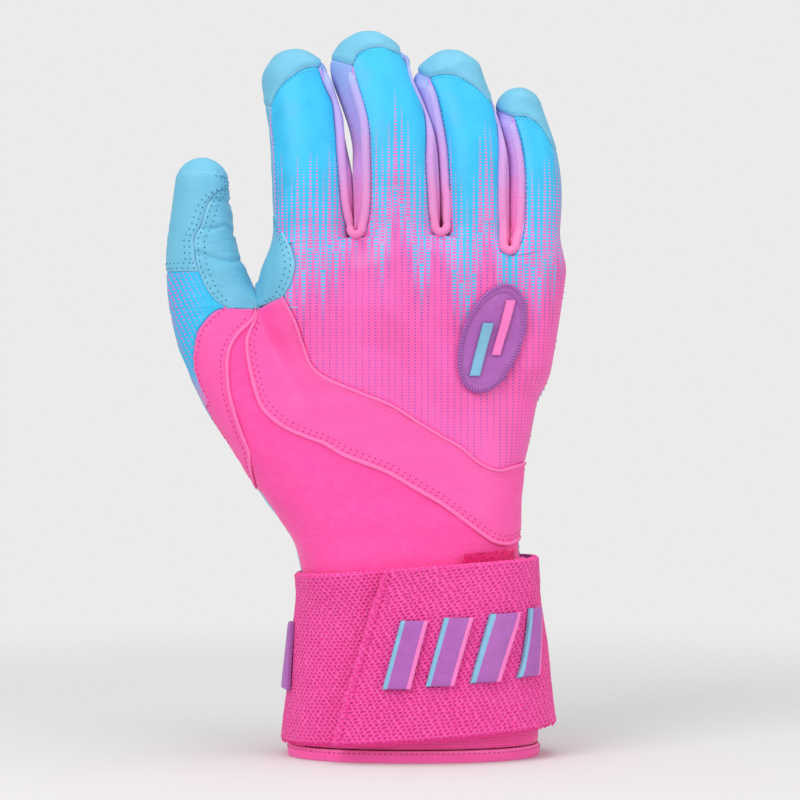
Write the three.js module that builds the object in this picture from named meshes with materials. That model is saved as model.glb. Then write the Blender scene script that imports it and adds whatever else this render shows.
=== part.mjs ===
// A right-hand batting glove standing on its cuff, in millimetres.
// +Z runs from the cuff to the fingertips, the back of the hand faces -Y and the thumb points to -X.
// The glove's outer skin is one smooth form: a flattened palm tube joined to five tapering limbs.
// Every panel is a thin shell cut from that skin, and the strap and trims are layers above it.
import * as THREE from 'three';

// Driving sizes of the hand form
const gloveLength = 240;
const knuckleWidth = 97;
const handDepth = 31;
const fingerBlend = 9;
const thumbBlend = 8;
const palmTopRound = 9;
const edgeInset = 8;
const cornerRadius = 24;

// Heights where the fingers and the closed top of the palm begin, as shares of gloveLength.
const fingerRootShare = 0.7125;
const palmTopShare = 0.694;

// Walls and seams
const leatherWall = 1.1;
const panelWall = 1.2;
const knitWall = 1.4;
const seamGap = 0.36;
const slitGap = 0.6;
const weldDistance = 0.001;
const pipingWidth = 1.7;
const pipingRise = 0.9;
const bandRise = 0.5;

// Cuff and strap
const hemHeight = 4;
const hemRise = 0.5;
const hemWall = 2.4;
const strapWidth = 55.5;
const strapWall = 2.1;
const fastenerWall = 0.9;
const layerGap = 0.4;
const strapTilt = THREE.MathUtils.degToRad(4);
const loopPeek = 3.2;
const hookWidth = 18;
const fastenerMargin = 3;
// Round the little-finger side, in degrees from the back: where the flap starts to peel,
// how much further the band's end comes up to it, and how much earlier the band begins under it.
const hingeDegrees = 87;
const hingeGapDegrees = 7;
const strapLapDegrees = 15;
// Where the band climbs over its own beginning, as shares of its length.
const climbShares = [0.75, 0.95];

// Raised rubber trims
const trimWall = 1.5;
const crestWidth = 21;
const crestHeight = 36;
const crestBarWidth = 3.4;
const crestBarPitch = 7.5;
const crestShares = [0.247, 0.678];
const barWidth = 8.5;
const barHeight = 22;
const barPitch = 13;
const barMargin = 10.3;
const barCount = 4;
const sideBarDegrees = 62;
const barLean = THREE.MathUtils.degToRad(14);
const sideBarWidth = 5;

// How finely the shells are divided
const coarseRows = 3;

// Sizes that follow: the strap clears the hem however it tilts, and the seams on the back of the
// hand start above the strap.
const strapRise = Math.tan(strapTilt) * knuckleWidth / 2;
const strapBottom = hemHeight + seamGap + strapRise;
const strapTop = strapBottom + strapWidth;
const cuffTop = strapTop - hemHeight;
const wristTop = strapTop + strapRise + pipingWidth / 2 + seamGap;
const fingerRootHeight = fingerRootShare * gloveLength;
const palmTopHeight = palmTopShare * gloveLength;
const seamRange = fingerRootHeight - wristTop;
const thumbRootShare = 0.777;
const thumbRootHeight = wristTop + thumbRootShare * seamRange;

// Palm sections from the cuff up: height, centre x, half width, centre y, half depth.
// Heights are shares of gloveLength, the x columns of knuckleWidth, the y columns of handDepth.
const palmShares = [
  [0, -0.0155, 0.428, 0, 0.839],
  [0.05, -0.0155, 0.423, 0, 0.839],
  [0.167, -0.0155, 0.388, 0, 0.79],
  [0.258, -0.0186, 0.369, 0, 0.742],
  [0.317, -0.033, 0.381, 0, 0.694],
  [0.383, -0.0536, 0.412, 0.016, 0.645],
  [0.446, -0.0536, 0.443, 0.032, 0.597],
  [0.55, -0.0412, 0.479, 0.032, 0.548],
  [0.625, -0.031, 0.495, 0.016, 0.516],
  [0.692, -0.0144, 0.496, 0, 0.494],
  [0.725, -0.0103, 0.493, 0, 0.484],
];

// Limb axes from root to tip: x, height, y, half width, half depth, as the same shares.
const limbShares = {
  index: [
    [-0.359, 0.625, -0.032, 0.128, 0.435],
    [-0.366, 0.783, 0, 0.134, 0.387],
    [-0.3835, 0.858, 0.081, 0.128, 0.361],
    [-0.424, 0.935, 0.226, 0.1155, 0.323],
  ],
  middle: [
    [-0.066, 0.625, -0.065, 0.136, 0.468],
    [-0.0745, 0.792, -0.032, 0.14, 0.413],
    [-0.0985, 0.875, 0.048, 0.14, 0.387],
    [-0.1735, 0.9535, 0.21, 0.13, 0.342],
  ],
  ring: [
    [0.198, 0.625, -0.032, 0.114, 0.445],
    [0.193, 0.783, 0, 0.1125, 0.387],
    [0.173, 0.858, 0.081, 0.1135, 0.368],
    [0.111, 0.931, 0.226, 0.1215, 0.329],
  ],
  little: [
    [0.355, 0.54, 0, 0.062, 0.35],
    [0.388, 0.66, 0, 0.078, 0.38],
    [0.404, 0.76, 0.032, 0.09, 0.329],
    [0.398, 0.825, 0.113, 0.084, 0.316],
    [0.35, 0.895, 0.242, 0.0805, 0.29],
  ],
  thumb: [
    [-0.227, 0.258, 0, 0.124, 0.548],
    [-0.309, 0.333, 0.032, 0.129, 0.532],
    [-0.4124, 0.383, 0.065, 0.134, 0.516],
    [-0.5155, 0.446, 0.081, 0.137, 0.5],
    [-0.6186, 0.5125, 0.097, 0.139, 0.468],
    [-0.6856, 0.575, 0.113, 0.14, 0.435],
    [-0.725, 0.633, 0.129, 0.136, 0.406],
    [-0.744, 0.692, 0.129, 0.1215, 0.371],
    [-0.746, 0.75, 0.113, 0.103, 0.323],
    [-0.744, 0.79, 0.097, 0.0905, 0.29],
  ],
};
const fingerNames = ['index', 'middle', 'ring', 'little'];
const palmRoundness = 2.35;
const limbRoundness = 2.2;

// Seams on the back of the hand: x as a share of knuckleWidth, and height as a share of the
// way from wristTop up to fingerRootHeight.
const upperSeamShares = [
  [-0.467, 0.819], [-0.4227, 0.736], [-0.3918, 0.647], [-0.368, 0.593], [-0.3124, 0.551],
  [-0.199, 0.506], [-0.0897, 0.464], [0.003, 0.408], [0.0825, 0.364], [0.147, 0.329],
  [0.203, 0.282], [0.247, 0.26], [0.2856, 0.254], [0.3268, 0.264], [0.375, 0.28],
];
const lowerSeamShares = [
  [-0.56, 0.755], [-0.595, 0.671], [-0.5876, 0.613], [-0.574, 0.554], [-0.543, 0.466],
  [-0.4567, 0.392], [-0.32, 0.34], [-0.1134, 0.254], [-0.0175, 0.202], [0.0825, 0.147],
  [0.162, 0.091], [0.2196, 0.05], [0.261, 0.024], [0.3124, 0.015], [0.36, 0],
];
const saddleSeamShares = [
  [-0.5845, 0.738], [-0.6216, 0.702], [-0.6495, 0.661], [-0.66, 0.615], [-0.6526, 0.508],
  [-0.636, 0.447], [-0.6186, 0.424], [-0.5876, 0.35], [-0.56, 0.282],
];
const printSeamShares = [
  [-0.67, 0.772], [-0.708, 0.772], [-0.739, 0.741], [-0.766, 0.706], [-0.7804, 0.651],
  [-0.7775, 0.587], [-0.758, 0.513],
];
const gussetSeamShares = [
  [-0.467, 0.819], [-0.433, 0.871], [-0.4278, 0.929], [-0.4454, 1],
];
// The seam round the ball of the thumb, on the palm.
const thumbBallShares = [
  [-0.3, 0.215], [-0.34, 0.506], [-0.44, 0.68], [-0.525, 0.771],
];

// Where each finger's panels meet, in degrees round its axis from the back (0) towards +X,
// and how far the tip leather reaches down the back, as shares of the tip's half width.
const fingerPanels = {
  index: { back: [-74, 50], palm: [-112, 126], seamShares: [-0.81, 0.05, 0.3, 0.39] },
  middle: { back: [-44, 54], palm: [-126, 126], seamShares: [0.07, 0.45, 0.54, 0.31] },
  ring: { back: [-52, 50], palm: [-126, 126], seamShares: [0.16, 0.25, 0.05, -0.6] },
  little: { back: [-34, 100], palm: [-126, 104], seamShares: [-0.35, -0.35, -1, -2] },
};
const sideReachShare = 0.7;
const wallLeastDegrees = 10;

// The thumb's smooth leather: degrees round the axis from the back and height as a share of
// gloveLength of its lower edge. It caps the tip and hems over the printed panel on the left.
const thumbEdgeShares = [
  [-150, 0.667], [-12, 0.667], [-10, 0.717], [0, 0.733], [12, 0.758], [90, 0.79], [150, 0.79],
  [208, 0.785],
];

const palmSections = denseRows(palmShares.map(([z, x, w, y, d]) => [
  z * gloveLength, x * knuckleWidth, w * knuckleWidth, y * handDepth, d * handDepth,
]), 60);
const limbs = Object.fromEntries(Object.entries(limbShares).map(([name, rows]) => [
  name,
  makeLimb(rows.map(([x, z, y, w, d]) => [
    x * knuckleWidth, z * gloveLength, y * handDepth, w * knuckleWidth, d * handDepth,
  ])),
]));

// A smooth curve through the rows of a table, sampled at even steps of its parameter.
function denseRows(rows, count) {
  const last = rows.length - 1;
  const mirrored = (a, b) => a.map((value, k) => 2 * value - b[k]);
  const padded = [mirrored(rows[0], rows[1]), ...rows, mirrored(rows[last], rows[last - 1])];
  return Array.from({ length: count + 1 }, (_, step) => {
    const at = (step / count) * last;
    const i = Math.min(Math.floor(at), last - 1);
    const f = at - i;
    const [a, b, c, d] = padded.slice(i, i + 4);
    return a.map((_, k) => 0.5 * (2 * b[k] + (c[k] - a[k]) * f
      + (2 * a[k] - 5 * b[k] + 4 * c[k] - d[k]) * f * f
      + (3 * b[k] - a[k] - 3 * c[k] + d[k]) * f * f * f));
  });
}

// A row of a table whose given column equals a value, by straight interpolation.
function rowAt(rows, column, value) {
  let i = 1;
  while (i < rows.length - 1 && rows[i][column] < value) i += 1;
  const span = rows[i][column] - rows[i - 1][column];
  const f = THREE.MathUtils.clamp((value - rows[i - 1][column]) / span, 0, 1);
  return rows[i].map((end, k) => rows[i - 1][k] + (end - rows[i - 1][k]) * f);
}

function makeLimb(rows) {
  const axis = denseRows(rows, 16);
  const reach = Math.max(...axis.map((row) => row[3])) + Math.max(fingerBlend, thumbBlend);
  return {
    axis,
    end: axis[axis.length - 1],
    left: Math.min(...axis.map((row) => row[0])) - reach,
    right: Math.max(...axis.map((row) => row[0])) + reach,
    low: axis[0][1] - reach,
  };
}

function smoothMin(a, b, k) {
  const h = Math.max(k - Math.abs(a - b), 0) / k;
  return Math.min(a, b) - h * h * k / 4;
}

// Signed values of the form: below zero inside, above zero outside, close to millimetres.
function palmValue(x, y, z) {
  const [, cx, w, cy, d] = rowAt(palmSections, 0, z);
  const round = palmRoundness;
  const radius = (Math.abs((x - cx) / w) ** round + Math.abs((y - cy) / d) ** round) ** (1 / round);
  return -smoothMin(-(radius - 1) * d, palmTopHeight - z, palmTopRound);
}

function limbValue(limb, x, y, z) {
  if (x < limb.left || x > limb.right || z < limb.low) return gloveLength;
  let best = Infinity;
  for (let i = 1; i < limb.axis.length; i += 1) {
    const [ax, az, ay, aw, ad] = limb.axis[i - 1];
    const [bx, bz, by, bw, bd] = limb.axis[i];
    const along = ((x - ax) * (bx - ax) + (z - az) * (bz - az)) / ((bx - ax) ** 2 + (bz - az) ** 2);
    const f = THREE.MathUtils.clamp(along, 0, 1);
    const across = Math.hypot(x - ax - f * (bx - ax), z - az - f * (bz - az));
    const w = aw + f * (bw - aw);
    const d = ad + f * (bd - ad);
    const deep = Math.abs(y - ay - f * (by - ay));
    const radius = ((across / w) ** limbRoundness + (deep / d) ** limbRoundness) ** (1 / limbRoundness);
    best = Math.min(best, (radius - 1) * Math.min(w, d));
  }
  return best;
}

// The middle of the slit between two neighbouring limbs at a height.
function slitAt(leftLimb, rightLimb, z) {
  const a = rowAt(leftLimb.axis, 1, z);
  const b = rowAt(rightLimb.axis, 1, z);
  return (a[0] + a[3] + b[0] - b[3]) / 2;
}

function webSlit(z) {
  const thumb = rowAt(limbs.thumb.axis, 1, z);
  const palm = rowAt(palmSections, 0, Math.min(z, fingerRootHeight));
  return (thumb[0] + thumb[3] + palm[1] - palm[2]) / 2;
}

// The whole skin, with the thumb's half of the web left out above the thumb root.
function handValue(x, y, z) {
  let value = palmValue(x, y, z);
  for (const name of fingerNames) value = smoothMin(value, limbValue(limbs[name], x, y, z), fingerBlend);
  value = smoothMin(value, limbValue(limbs.thumb, x, y, z), thumbBlend);
  return z > thumbRootHeight ? Math.max(value, webSlit(z) + seamGap / 2 - x) : value;
}

function thumbValue(x, y, z) {
  const value = smoothMin(palmValue(x, y, z), limbValue(limbs.thumb, x, y, z), thumbBlend);
  return Math.max(value, x - webSlit(z) + 2 * slitGap);
}

function fingerValue(name) {
  const at = fingerNames.indexOf(name);
  const before = limbs[fingerNames[at - 1]];
  const after = limbs[fingerNames[at + 1]];
  return (x, y, z) => {
    let value = smoothMin(palmValue(x, y, z), limbValue(limbs[name], x, y, z), fingerBlend);
    if (before) value = Math.max(value, slitAt(before, limbs[name], z) + slitGap - x);
    if (after) value = Math.max(value, x - slitAt(limbs[name], after, z) + slitGap);
    return value;
  };
}

// Distance from a point inside the form to its skin along a direction.
function skinDistance(value, origin, direction) {
  const at = (t) => value(
    origin.x + direction.x * t, origin.y + direction.y * t, origin.z + direction.z * t,
  );
  const step = handDepth / 12;
  let far = step;
  while (at(far) < 0 && far < gloveLength) far += step;
  let near = far - step;
  for (let i = 0; i < 16; i += 1) {
    const middle = (near + far) / 2;
    if (at(middle) < 0) near = middle;
    else far = middle;
  }
  return (near + far) / 2;
}

// How squarely a ray meets the skin, from the value a little short of it.
function offsetFactor(value, origin, direction, distance) {
  const short = handDepth / 60;
  const point = origin.clone().addScaledVector(direction, distance - short);
  const rise = -value(point.x, point.y, point.z) / short;
  return 1 / THREE.MathUtils.clamp(rise, 0.6, 1);
}

// A closed shell between two offsets of the skin over a grid of rays, one row after another.
// closed joins the last column to the first; a row whose rays all agree becomes one point; open
// names the cells of the grid that stay open.
function shellGeometry(value, rays, inner, outer, closed = false, open = () => false) {
  const rowCount = rays.length;
  const columnCount = rays[0].length;
  const points = [];
  for (const [side, offset] of [[0, outer], [1, inner]]) {
    rays.forEach((row, i) => row.forEach((ray, j) => {
      if (side === 0) {
        ray.distance = skinDistance(value, ray.origin, ray.direction);
        ray.factor = offsetFactor(value, ray.origin, ray.direction, ray.distance);
      }
      const rise = typeof offset === 'function' ? offset(i, j) : offset;
      points.push(ray.origin.clone().addScaledVector(ray.direction, ray.distance + rise * ray.factor));
    }));
  }
  const id = (side, [i, j]) => side * rowCount * columnCount + i * columnCount + (j % columnCount);
  const faces = [];
  const quad = (a, b, c, d) => faces.push([a, b, c], [a, c, d]);
  const columnSteps = closed ? columnCount : columnCount - 1;
  const covered = (i, j) => i >= 0 && i < rowCount - 1 && (closed || (j >= 0 && j < columnSteps))
    && !open(i, (j + columnCount) % columnCount);
  for (let i = 0; i < rowCount - 1; i += 1) {
    for (let j = 0; j < columnSteps; j += 1) {
      if (!covered(i, j)) continue;
      const corners = [[i, j], [i, j + 1], [i + 1, j + 1], [i + 1, j]];
      const besides = [[i - 1, j], [i, j + 1], [i + 1, j], [i, j - 1]];
      quad(...corners.map((corner) => id(0, corner)));
      quad(...corners.map((corner) => id(1, corner)).reverse());
      besides.forEach(([row, column], k) => {
        const [from, to] = [corners[k], corners[(k + 1) % corners.length]];
        if (!covered(row, column)) quad(id(0, from), id(1, from), id(1, to), id(0, to));
      });
    }
  }
  return solidGeometry(points, faces);
}

// A closed geometry from points and faces: points that coincide become one, flat faces drop out,
// and the faces are turned to point outwards.
function solidGeometry(points, faces) {
  const places = new Map();
  const merged = [];
  const weld = (corner) => {
    const point = points[corner];
    const key = point.toArray().map((value) => Math.round(value / weldDistance)).join(',');
    if (!places.has(key)) {
      places.set(key, merged.length);
      merged.push(point);
    }
    return places.get(key);
  };
  const kept = faces.map((face) => face.map(weld)).filter(([a, b, c]) => a !== b && b !== c && c !== a);
  let volume = 0;
  for (const [a, b, c] of kept) volume += merged[a].dot(merged[b].clone().cross(merged[c]));
  const index = kept.flatMap(([a, b, c]) => (volume > 0 ? [a, b, c] : [a, c, b]));
  const geometry = new THREE.BufferGeometry();
  geometry.setAttribute('position', new THREE.Float32BufferAttribute(
    merged.flatMap((point) => point.toArray()), 3,
  ));
  geometry.setIndex(index);
  geometry.computeVertexNormals();
  return geometry;
}

// The inner line of the hand at a height, from which its rays start.
function middleLine(z) {
  const [, cx, w, cy] = rowAt(palmSections, 0, z);
  const right = cx + w - edgeInset;
  const palmLeft = cx - w + edgeInset;
  if (z > thumbRootHeight) return { left: palmLeft, right, leftY: cy, rightY: cy };
  const thumb = rowAt(limbs.thumb.axis, 1, z);
  const left = Math.min(palmLeft, thumb[0]);
  return { left, right, leftY: left < palmLeft ? thumb[2] : cy, rightY: cy };
}

// A ray of the hand at a height. Across the back and the palm it runs along Y from the inner line;
// beyond the line's ends it fans out by an angle from that side: side is 'back' or 'palm'.
function handRay(x, z, side) {
  const line = middleLine(z);
  const inside = THREE.MathUtils.clamp(x, line.left, line.right);
  const f = (inside - line.left) / (line.right - line.left);
  const origin = new THREE.Vector3(inside, line.leftY + f * (line.rightY - line.leftY), z);
  const angle = Math.abs(x - inside) / edgeInset;
  const out = Math.sin(angle) * Math.sign(x - inside);
  const facing = side === 'back' ? -1 : 1;
  return { origin, direction: new THREE.Vector3(out, facing * Math.cos(angle), 0) };
}

// The coordinate for handRay that lands on a wanted x of the skin, or a side angle past the line.
function chartX(x, z) {
  const line = middleLine(z);
  if (x >= line.left && x <= line.right) return x;
  const sign = x < line.left ? -1 : 1;
  const end = sign < 0 ? line.left : line.right;
  let near = 0;
  let far = Math.PI / 2;
  for (let i = 0; i < 12; i += 1) {
    const angle = (near + far) / 2;
    const ray = handRay(end + sign * angle * edgeInset, z, 'back');
    const distance = skinDistance(handValue, ray.origin, ray.direction);
    if ((ray.origin.x + ray.direction.x * distance - x) * sign < 0) near = angle;
    else far = angle;
  }
  return end + sign * near * edgeInset;
}

// The coordinate for handRay at a distance x from the hand's centre, measured along the skin.
function alongSkin(x, z) {
  const { right } = middleLine(z);
  return x <= right ? x : right + (x - right) * edgeInset / cornerRadius;
}

function sideX(z, sign, degrees) {
  const line = middleLine(z);
  const angle = THREE.MathUtils.degToRad(degrees);
  return (sign < 0 ? line.left : line.right) + sign * angle * edgeInset;
}

// A curve through points given as shares, sampled at even steps along its length.
function seamCurve(shares, steps) {
  const knots = shares.map(([x, z]) => new THREE.Vector2(x * knuckleWidth, wristTop + z * seamRange));
  return new THREE.SplineCurve(knots).getSpacedPoints(steps)
    .map((point) => new THREE.Vector2(chartX(point.x, point.y), point.y));
}

function straightPoints(from, to, steps) {
  return Array.from({ length: steps + 1 }, (_, i) => from.clone().lerp(to, i / steps));
}

// A grid of points filling four boundary curves: lower and upper run alike, as do left and right.
function filledGrid(lower, upper, left, right) {
  const rows = left.length - 1;
  const columns = lower.length - 1;
  return left.map((_, i) => lower.map((_, j) => {
    const u = j / columns;
    const v = i / rows;
    const blend = lower[j].clone().multiplyScalar(1 - v).addScaledVector(upper[j], v);
    blend.addScaledVector(left[i], 1 - u).addScaledVector(right[i], u);
    blend.addScaledVector(lower[0], -(1 - u) * (1 - v)).addScaledVector(lower[columns], -u * (1 - v));
    return blend.addScaledVector(upper[0], -(1 - u) * v).addScaledVector(upper[columns], -u * v);
  }));
}

// Unit normals of a line of points, all on the same hand of it.
function lineNormals(line) {
  return line.map((_, k) => {
    const before = line[Math.max(k - 1, 0)];
    const after = line[Math.min(k + 1, line.length - 1)];
    return new THREE.Vector2(before.y - after.y, after.x - before.x).normalize();
  });
}

// Moves a grid's edge by a gap towards the line of points inside it, square to the edge.
function pullEdge(edge, inside, gap) {
  const normals = lineNormals(edge);
  const lean = normals.reduce((sum, normal, k) => sum + normal.dot(inside[k].clone().sub(edge[k])), 0);
  return edge.map((point, k) => point.clone().addScaledVector(normals[k], Math.sign(lean) * gap));
}

function insetGrid(lower, upper, left, right, gaps) {
  const rough = filledGrid(lower, upper, left, right);
  const rows = rough.length - 1;
  const columns = rough[0].length - 1;
  const columnOf = (j) => rough.map((row) => row[j]);
  const pulled = {
    lower: pullEdge(rough[0], rough[1], gaps.lower),
    upper: pullEdge(rough[rows], rough[rows - 1], gaps.upper),
    left: pullEdge(columnOf(0), columnOf(1), gaps.left),
    right: pullEdge(columnOf(columns), columnOf(columns - 1), gaps.right),
  };
  const corner = (edge, at, other, place) => {
    const moved = edge[at].clone().add(other[place]).sub(
      edge === pulled.lower || edge === pulled.upper ? rough[place][at] : rough[at][place],
    );
    edge[at] = moved;
    other[place] = moved.clone();
  };
  corner(pulled.lower, 0, pulled.left, 0);
  corner(pulled.lower, columns, pulled.right, 0);
  corner(pulled.upper, 0, pulled.left, rows);
  corner(pulled.upper, columns, pulled.right, rows);
  return filledGrid(pulled.lower, pulled.upper, pulled.left, pulled.right);
}

function gridRays(grid, side) {
  return grid.map((row) => row.map((point) => handRay(point.x, point.y, side)));
}

const group = new THREE.Group();

function addPiece(name, geometry, colour, roughness = 0.6, metalness = 0) {
  const material = new THREE.MeshStandardMaterial({ color: colour, roughness, metalness });
  const mesh = new THREE.Mesh(geometry, material);
  mesh.name = name;
  group.add(mesh);
}

const colours = {
  cyan: '#4dd0f5', sky: '#7dc8e6', pink: '#ff64b4', knit: '#ff50aa', elastic: '#ff3c96',
  lilac: '#c89ae0', purple: '#b566b8', blush: '#ff82c8',
};
const plain = seamGap / 2;
const piped = pipingWidth / 2 + seamGap;

// Where the panels meet on the two edges of the hand: degrees round from the back.
const leftSideDegrees = 78;
const rightSideDegrees = 90;
const gussetDegrees = 115;

function sideLine(from, to, steps, sign, degrees) {
  const heights = straightPoints(new THREE.Vector2(0, from), new THREE.Vector2(0, to), steps);
  return heights.map((point) => new THREE.Vector2(sideX(point.y, sign, degrees), point.y));
}

function addPanel(name, side, edges, gaps, inner, outer, colour, roughness) {
  const grid = insetGrid(edges.lower, edges.upper, edges.left, edges.right, gaps);
  addPiece(name, shellGeometry(handValue, gridRays(grid, side), inner, outer), colour, roughness);
}

const bandSteps = 15;
const saddleSteps = 10;
const upperSeam = seamCurve(upperSeamShares, bandSteps);
const lowerSeam = seamCurve(lowerSeamShares, bandSteps);
const saddleSeam = seamCurve(saddleSeamShares, saddleSteps);
upperSeam[bandSteps].x = sideX(upperSeam[bandSteps].y, 1, rightSideDegrees);
lowerSeam[bandSteps].x = sideX(lowerSeam[bandSteps].y, 1, rightSideDegrees);
saddleSeam[saddleSteps].x = sideX(saddleSeam[saddleSteps].y, -1, leftSideDegrees);

// The raised band across the back of the hand.
function addWristBand() {
  addPanel('wrist_band', 'back', {
    lower: lowerSeam,
    upper: upperSeam,
    left: straightPoints(lowerSeam[0], upperSeam[0], coarseRows),
    right: sideLine(lowerSeam[bandSteps].y, upperSeam[bandSteps].y, coarseRows, 1, rightSideDegrees),
  }, { lower: piped, upper: piped, left: seamGap, right: plain }, -panelWall, bandRise, colours.pink);
}

// The stretch wrist panel, from the thumb web down under the strap.
function addWristKnit() {
  const underSteps = 2;
  const columns = 9;
  const halvedSteps = 4;
  const tipSteps = 2;
  const sideSteps = bandSteps + halvedSteps + underSteps - saddleSteps;
  const side = sideLine(saddleSeam[saddleSteps].y, cuffTop, sideSteps, -1, leftSideDegrees);
  const under = sideLine(lowerSeam[bandSteps].y, cuffTop, underSteps, 1, rightSideDegrees);
  const halved = lowerSeam.slice(0, halvedSteps).flatMap(
    (point, k) => [point, point.clone().lerp(lowerSeam[k + 1], 0.5)],
  );
  const left = [...saddleSeam, ...side.slice(1)].slice(tipSteps);
  const right = [...halved, ...lowerSeam.slice(halvedSteps), ...under.slice(1)].slice(tipSteps);
  const beside = piped + plain;
  addPanel('wrist_knit', 'back', {
    lower: straightPoints(left[0], right[0], columns),
    upper: straightPoints(left[left.length - 1], right[right.length - 1], columns),
    left,
    right,
  }, { lower: piped, upper: plain, left: beside, right: beside }, -knitWall, 0, colours.knit, 0.8);
}

// The smooth saddle over the base of the thumb and the printed panel beyond it.
function addThumbSaddle() {
  const printSteps = 7;
  const printSeam = seamCurve(printSeamShares, printSteps);
  printSeam[printSteps].x = sideX(printSeam[printSteps].y, -1, leftSideDegrees);
  const lowSteps = saddleSteps - printSteps;
  const low = sideLine(printSeam[printSteps].y, saddleSeam[saddleSteps].y, lowSteps, -1, leftSideDegrees);
  const saddleLeft = [...printSeam, ...low.slice(1)];
  addPanel('thumb_saddle', 'back', {
    lower: straightPoints(saddleLeft[0], saddleSeam[0], coarseRows),
    upper: straightPoints(saddleLeft[saddleSteps - 1], saddleSeam[saddleSteps - 1], coarseRows),
    left: saddleLeft.slice(0, -1),
    right: saddleSeam.slice(0, -1),
  }, { lower: plain, upper: 0, left: plain, right: piped }, -panelWall, 0, colours.pink);

  const side = sideLine(thumbRootHeight, printSeam[printSteps].y, printSteps, -1, leftSideDegrees);
  addPanel('thumb_print', 'back', {
    lower: straightPoints(side[0], printSeam[0], coarseRows),
    upper: straightPoints(side[printSteps - 1], printSeam[printSteps - 1], coarseRows),
    left: side.slice(0, -1),
    right: printSeam.slice(0, -1),
  }, { lower: plain, upper: 0, left: plain, right: plain }, -panelWall, 0, colours.cyan);
}

// The raised ridges along the three curved seams.
function addPipings() {
  const seams = { upper_piping: upperSeam, lower_piping: lowerSeam, saddle_piping: saddleSeam };
  for (const [name, seam] of Object.entries(seams)) {
    const normals = lineNormals(seam);
    const lines = [-1, 0, 1].map((side) => seam.slice(1, -1).map(
      (point, k) => point.clone().addScaledVector(normals[k + 1], side * pipingWidth / 2),
    ));
    const rise = (i) => (i === 1 ? pipingRise : pipingRise / 2);
    addPiece(name, shellGeometry(handValue, gridRays(lines, 'back'), -panelWall, rise), colours.pink);
  }
}

// The printed back and the leather gusset beside the index finger's root.
function addBackPanel() {
  const rows = 8;
  const gusset = seamCurve(gussetSeamShares, rows);
  gusset[0] = upperSeam[0];
  const right = sideLine(upperSeam[bandSteps].y, fingerRootHeight, rows, 1, rightSideDegrees);
  addPanel('back_panel', 'back', {
    lower: upperSeam,
    upper: straightPoints(gusset[rows], right[rows], bandSteps),
    left: gusset,
    right,
  }, { lower: piped, upper: plain, left: seamGap, right: plain }, -panelWall, 0, colours.cyan, 0.45);

  const start = (thumbRootHeight + seamGap - lowerSeam[0].y) / (upperSeam[0].y - lowerSeam[0].y);
  const foot = new THREE.Vector2().lerpVectors(lowerSeam[0], upperSeam[0], start);
  foot.x = chartX(foot.x, foot.y);
  const edge = [foot, ...gusset];
  const side = sideLine(foot.y, fingerRootHeight, rows + 1, -1, gussetDegrees);
  addPanel('web_gusset', 'back', {
    lower: straightPoints(side[0], edge[0], coarseRows),
    upper: straightPoints(side[rows + 1], edge[rows + 1], coarseRows),
    left: side,
    right: edge,
  }, { lower: plain, upper: plain, left: plain, right: seamGap }, -leatherWall, 0, colours.sky);
}

// The leather palm, and the piece round the ball of the thumb.
function addPalm() {
  const ballSteps = 9;
  const rootSteps = 3;
  const columns = 12;
  const ballFoot = [thumbBallShares[0][0], (cuffTop - wristTop) / seamRange];
  const ball = seamCurve([ballFoot, ...thumbBallShares], ballSteps);
  const root = sideLine(thumbRootHeight + seamGap, fingerRootHeight, rootSteps, -1, 180 - gussetDegrees);
  const left = [...ball, ...root];
  const right = sideLine(cuffTop, fingerRootHeight, left.length - 1, 1, 180 - rightSideDegrees);
  addPanel('palm_leather', 'palm', {
    lower: straightPoints(left[0], right[0], columns),
    upper: straightPoints(left[left.length - 1], right[right.length - 1], columns),
    left,
    right,
  }, { lower: plain, upper: plain, left: seamGap, right: seamGap }, -leatherWall, 0, colours.sky);

  const side = sideLine(ball[0].y, thumbRootHeight, ballSteps, -1, 180 - leftSideDegrees);
  const topEdge = [...ball.slice(0, -1), new THREE.Vector2(webSlit(thumbRootHeight), thumbRootHeight)];
  addPanel('thumb_base_leather', 'palm', {
    lower: straightPoints(side[0], ball[0], 8),
    upper: straightPoints(side[ballSteps], topEdge[ballSteps], 8),
    left: side,
    right: topEdge,
  }, { lower: plain, upper: plain, left: plain, right: seamGap }, -leatherWall, 0, colours.sky);
}

// How the way round the wrist is shared out: the back or the palm, and either rounded end.
const backShare = 0.3;
const endShare = 0.2;

function turnShare(degrees) {
  return backShare + endShare * degrees / 180;
}

// How far the tilted strap rises at a place across the hand.
function tiltRise(x, z) {
  const { left, right } = middleLine(z);
  return Math.tan(strapTilt) * THREE.MathUtils.clamp(x, left - edgeInset, right + edgeInset);
}

// A ray at a share of the way round the wrist, from the thumb side across the back.
function ringRay(share, height, tilted) {
  const at = share - Math.floor(share);
  const place = (z) => {
    const { left, right } = middleLine(z);
    if (at <= backShare) return [left + (right - left) * at / backShare, 'back'];
    if (at < backShare + endShare) {
      return [right + Math.PI * edgeInset * (at - backShare) / endShare, 'back'];
    }
    if (at <= 1 - endShare) {
      return [right - (right - left) * (at - backShare - endShare) / backShare, 'palm'];
    }
    return [left - Math.PI * edgeInset * (at - 1 + endShare) / endShare, 'palm'];
  };
  const [level, levelSide] = place(height);
  if (!tilted) return handRay(level, height, levelSide);
  const { origin, direction } = handRay(level, height, levelSide);
  const z = height + tiltRise(origin.x + direction.x * edgeInset, height);
  const [x, side] = place(z);
  return handRay(x, z, side);
}

function ringRays(shares, heights, tilted = false) {
  return heights.map((height) => shares.map((share) => ringRay(share, height, tilted)));
}

function evenSteps(from, to, steps) {
  return Array.from({ length: steps + 1 }, (_, i) => from + (to - from) * i / steps);
}

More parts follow.
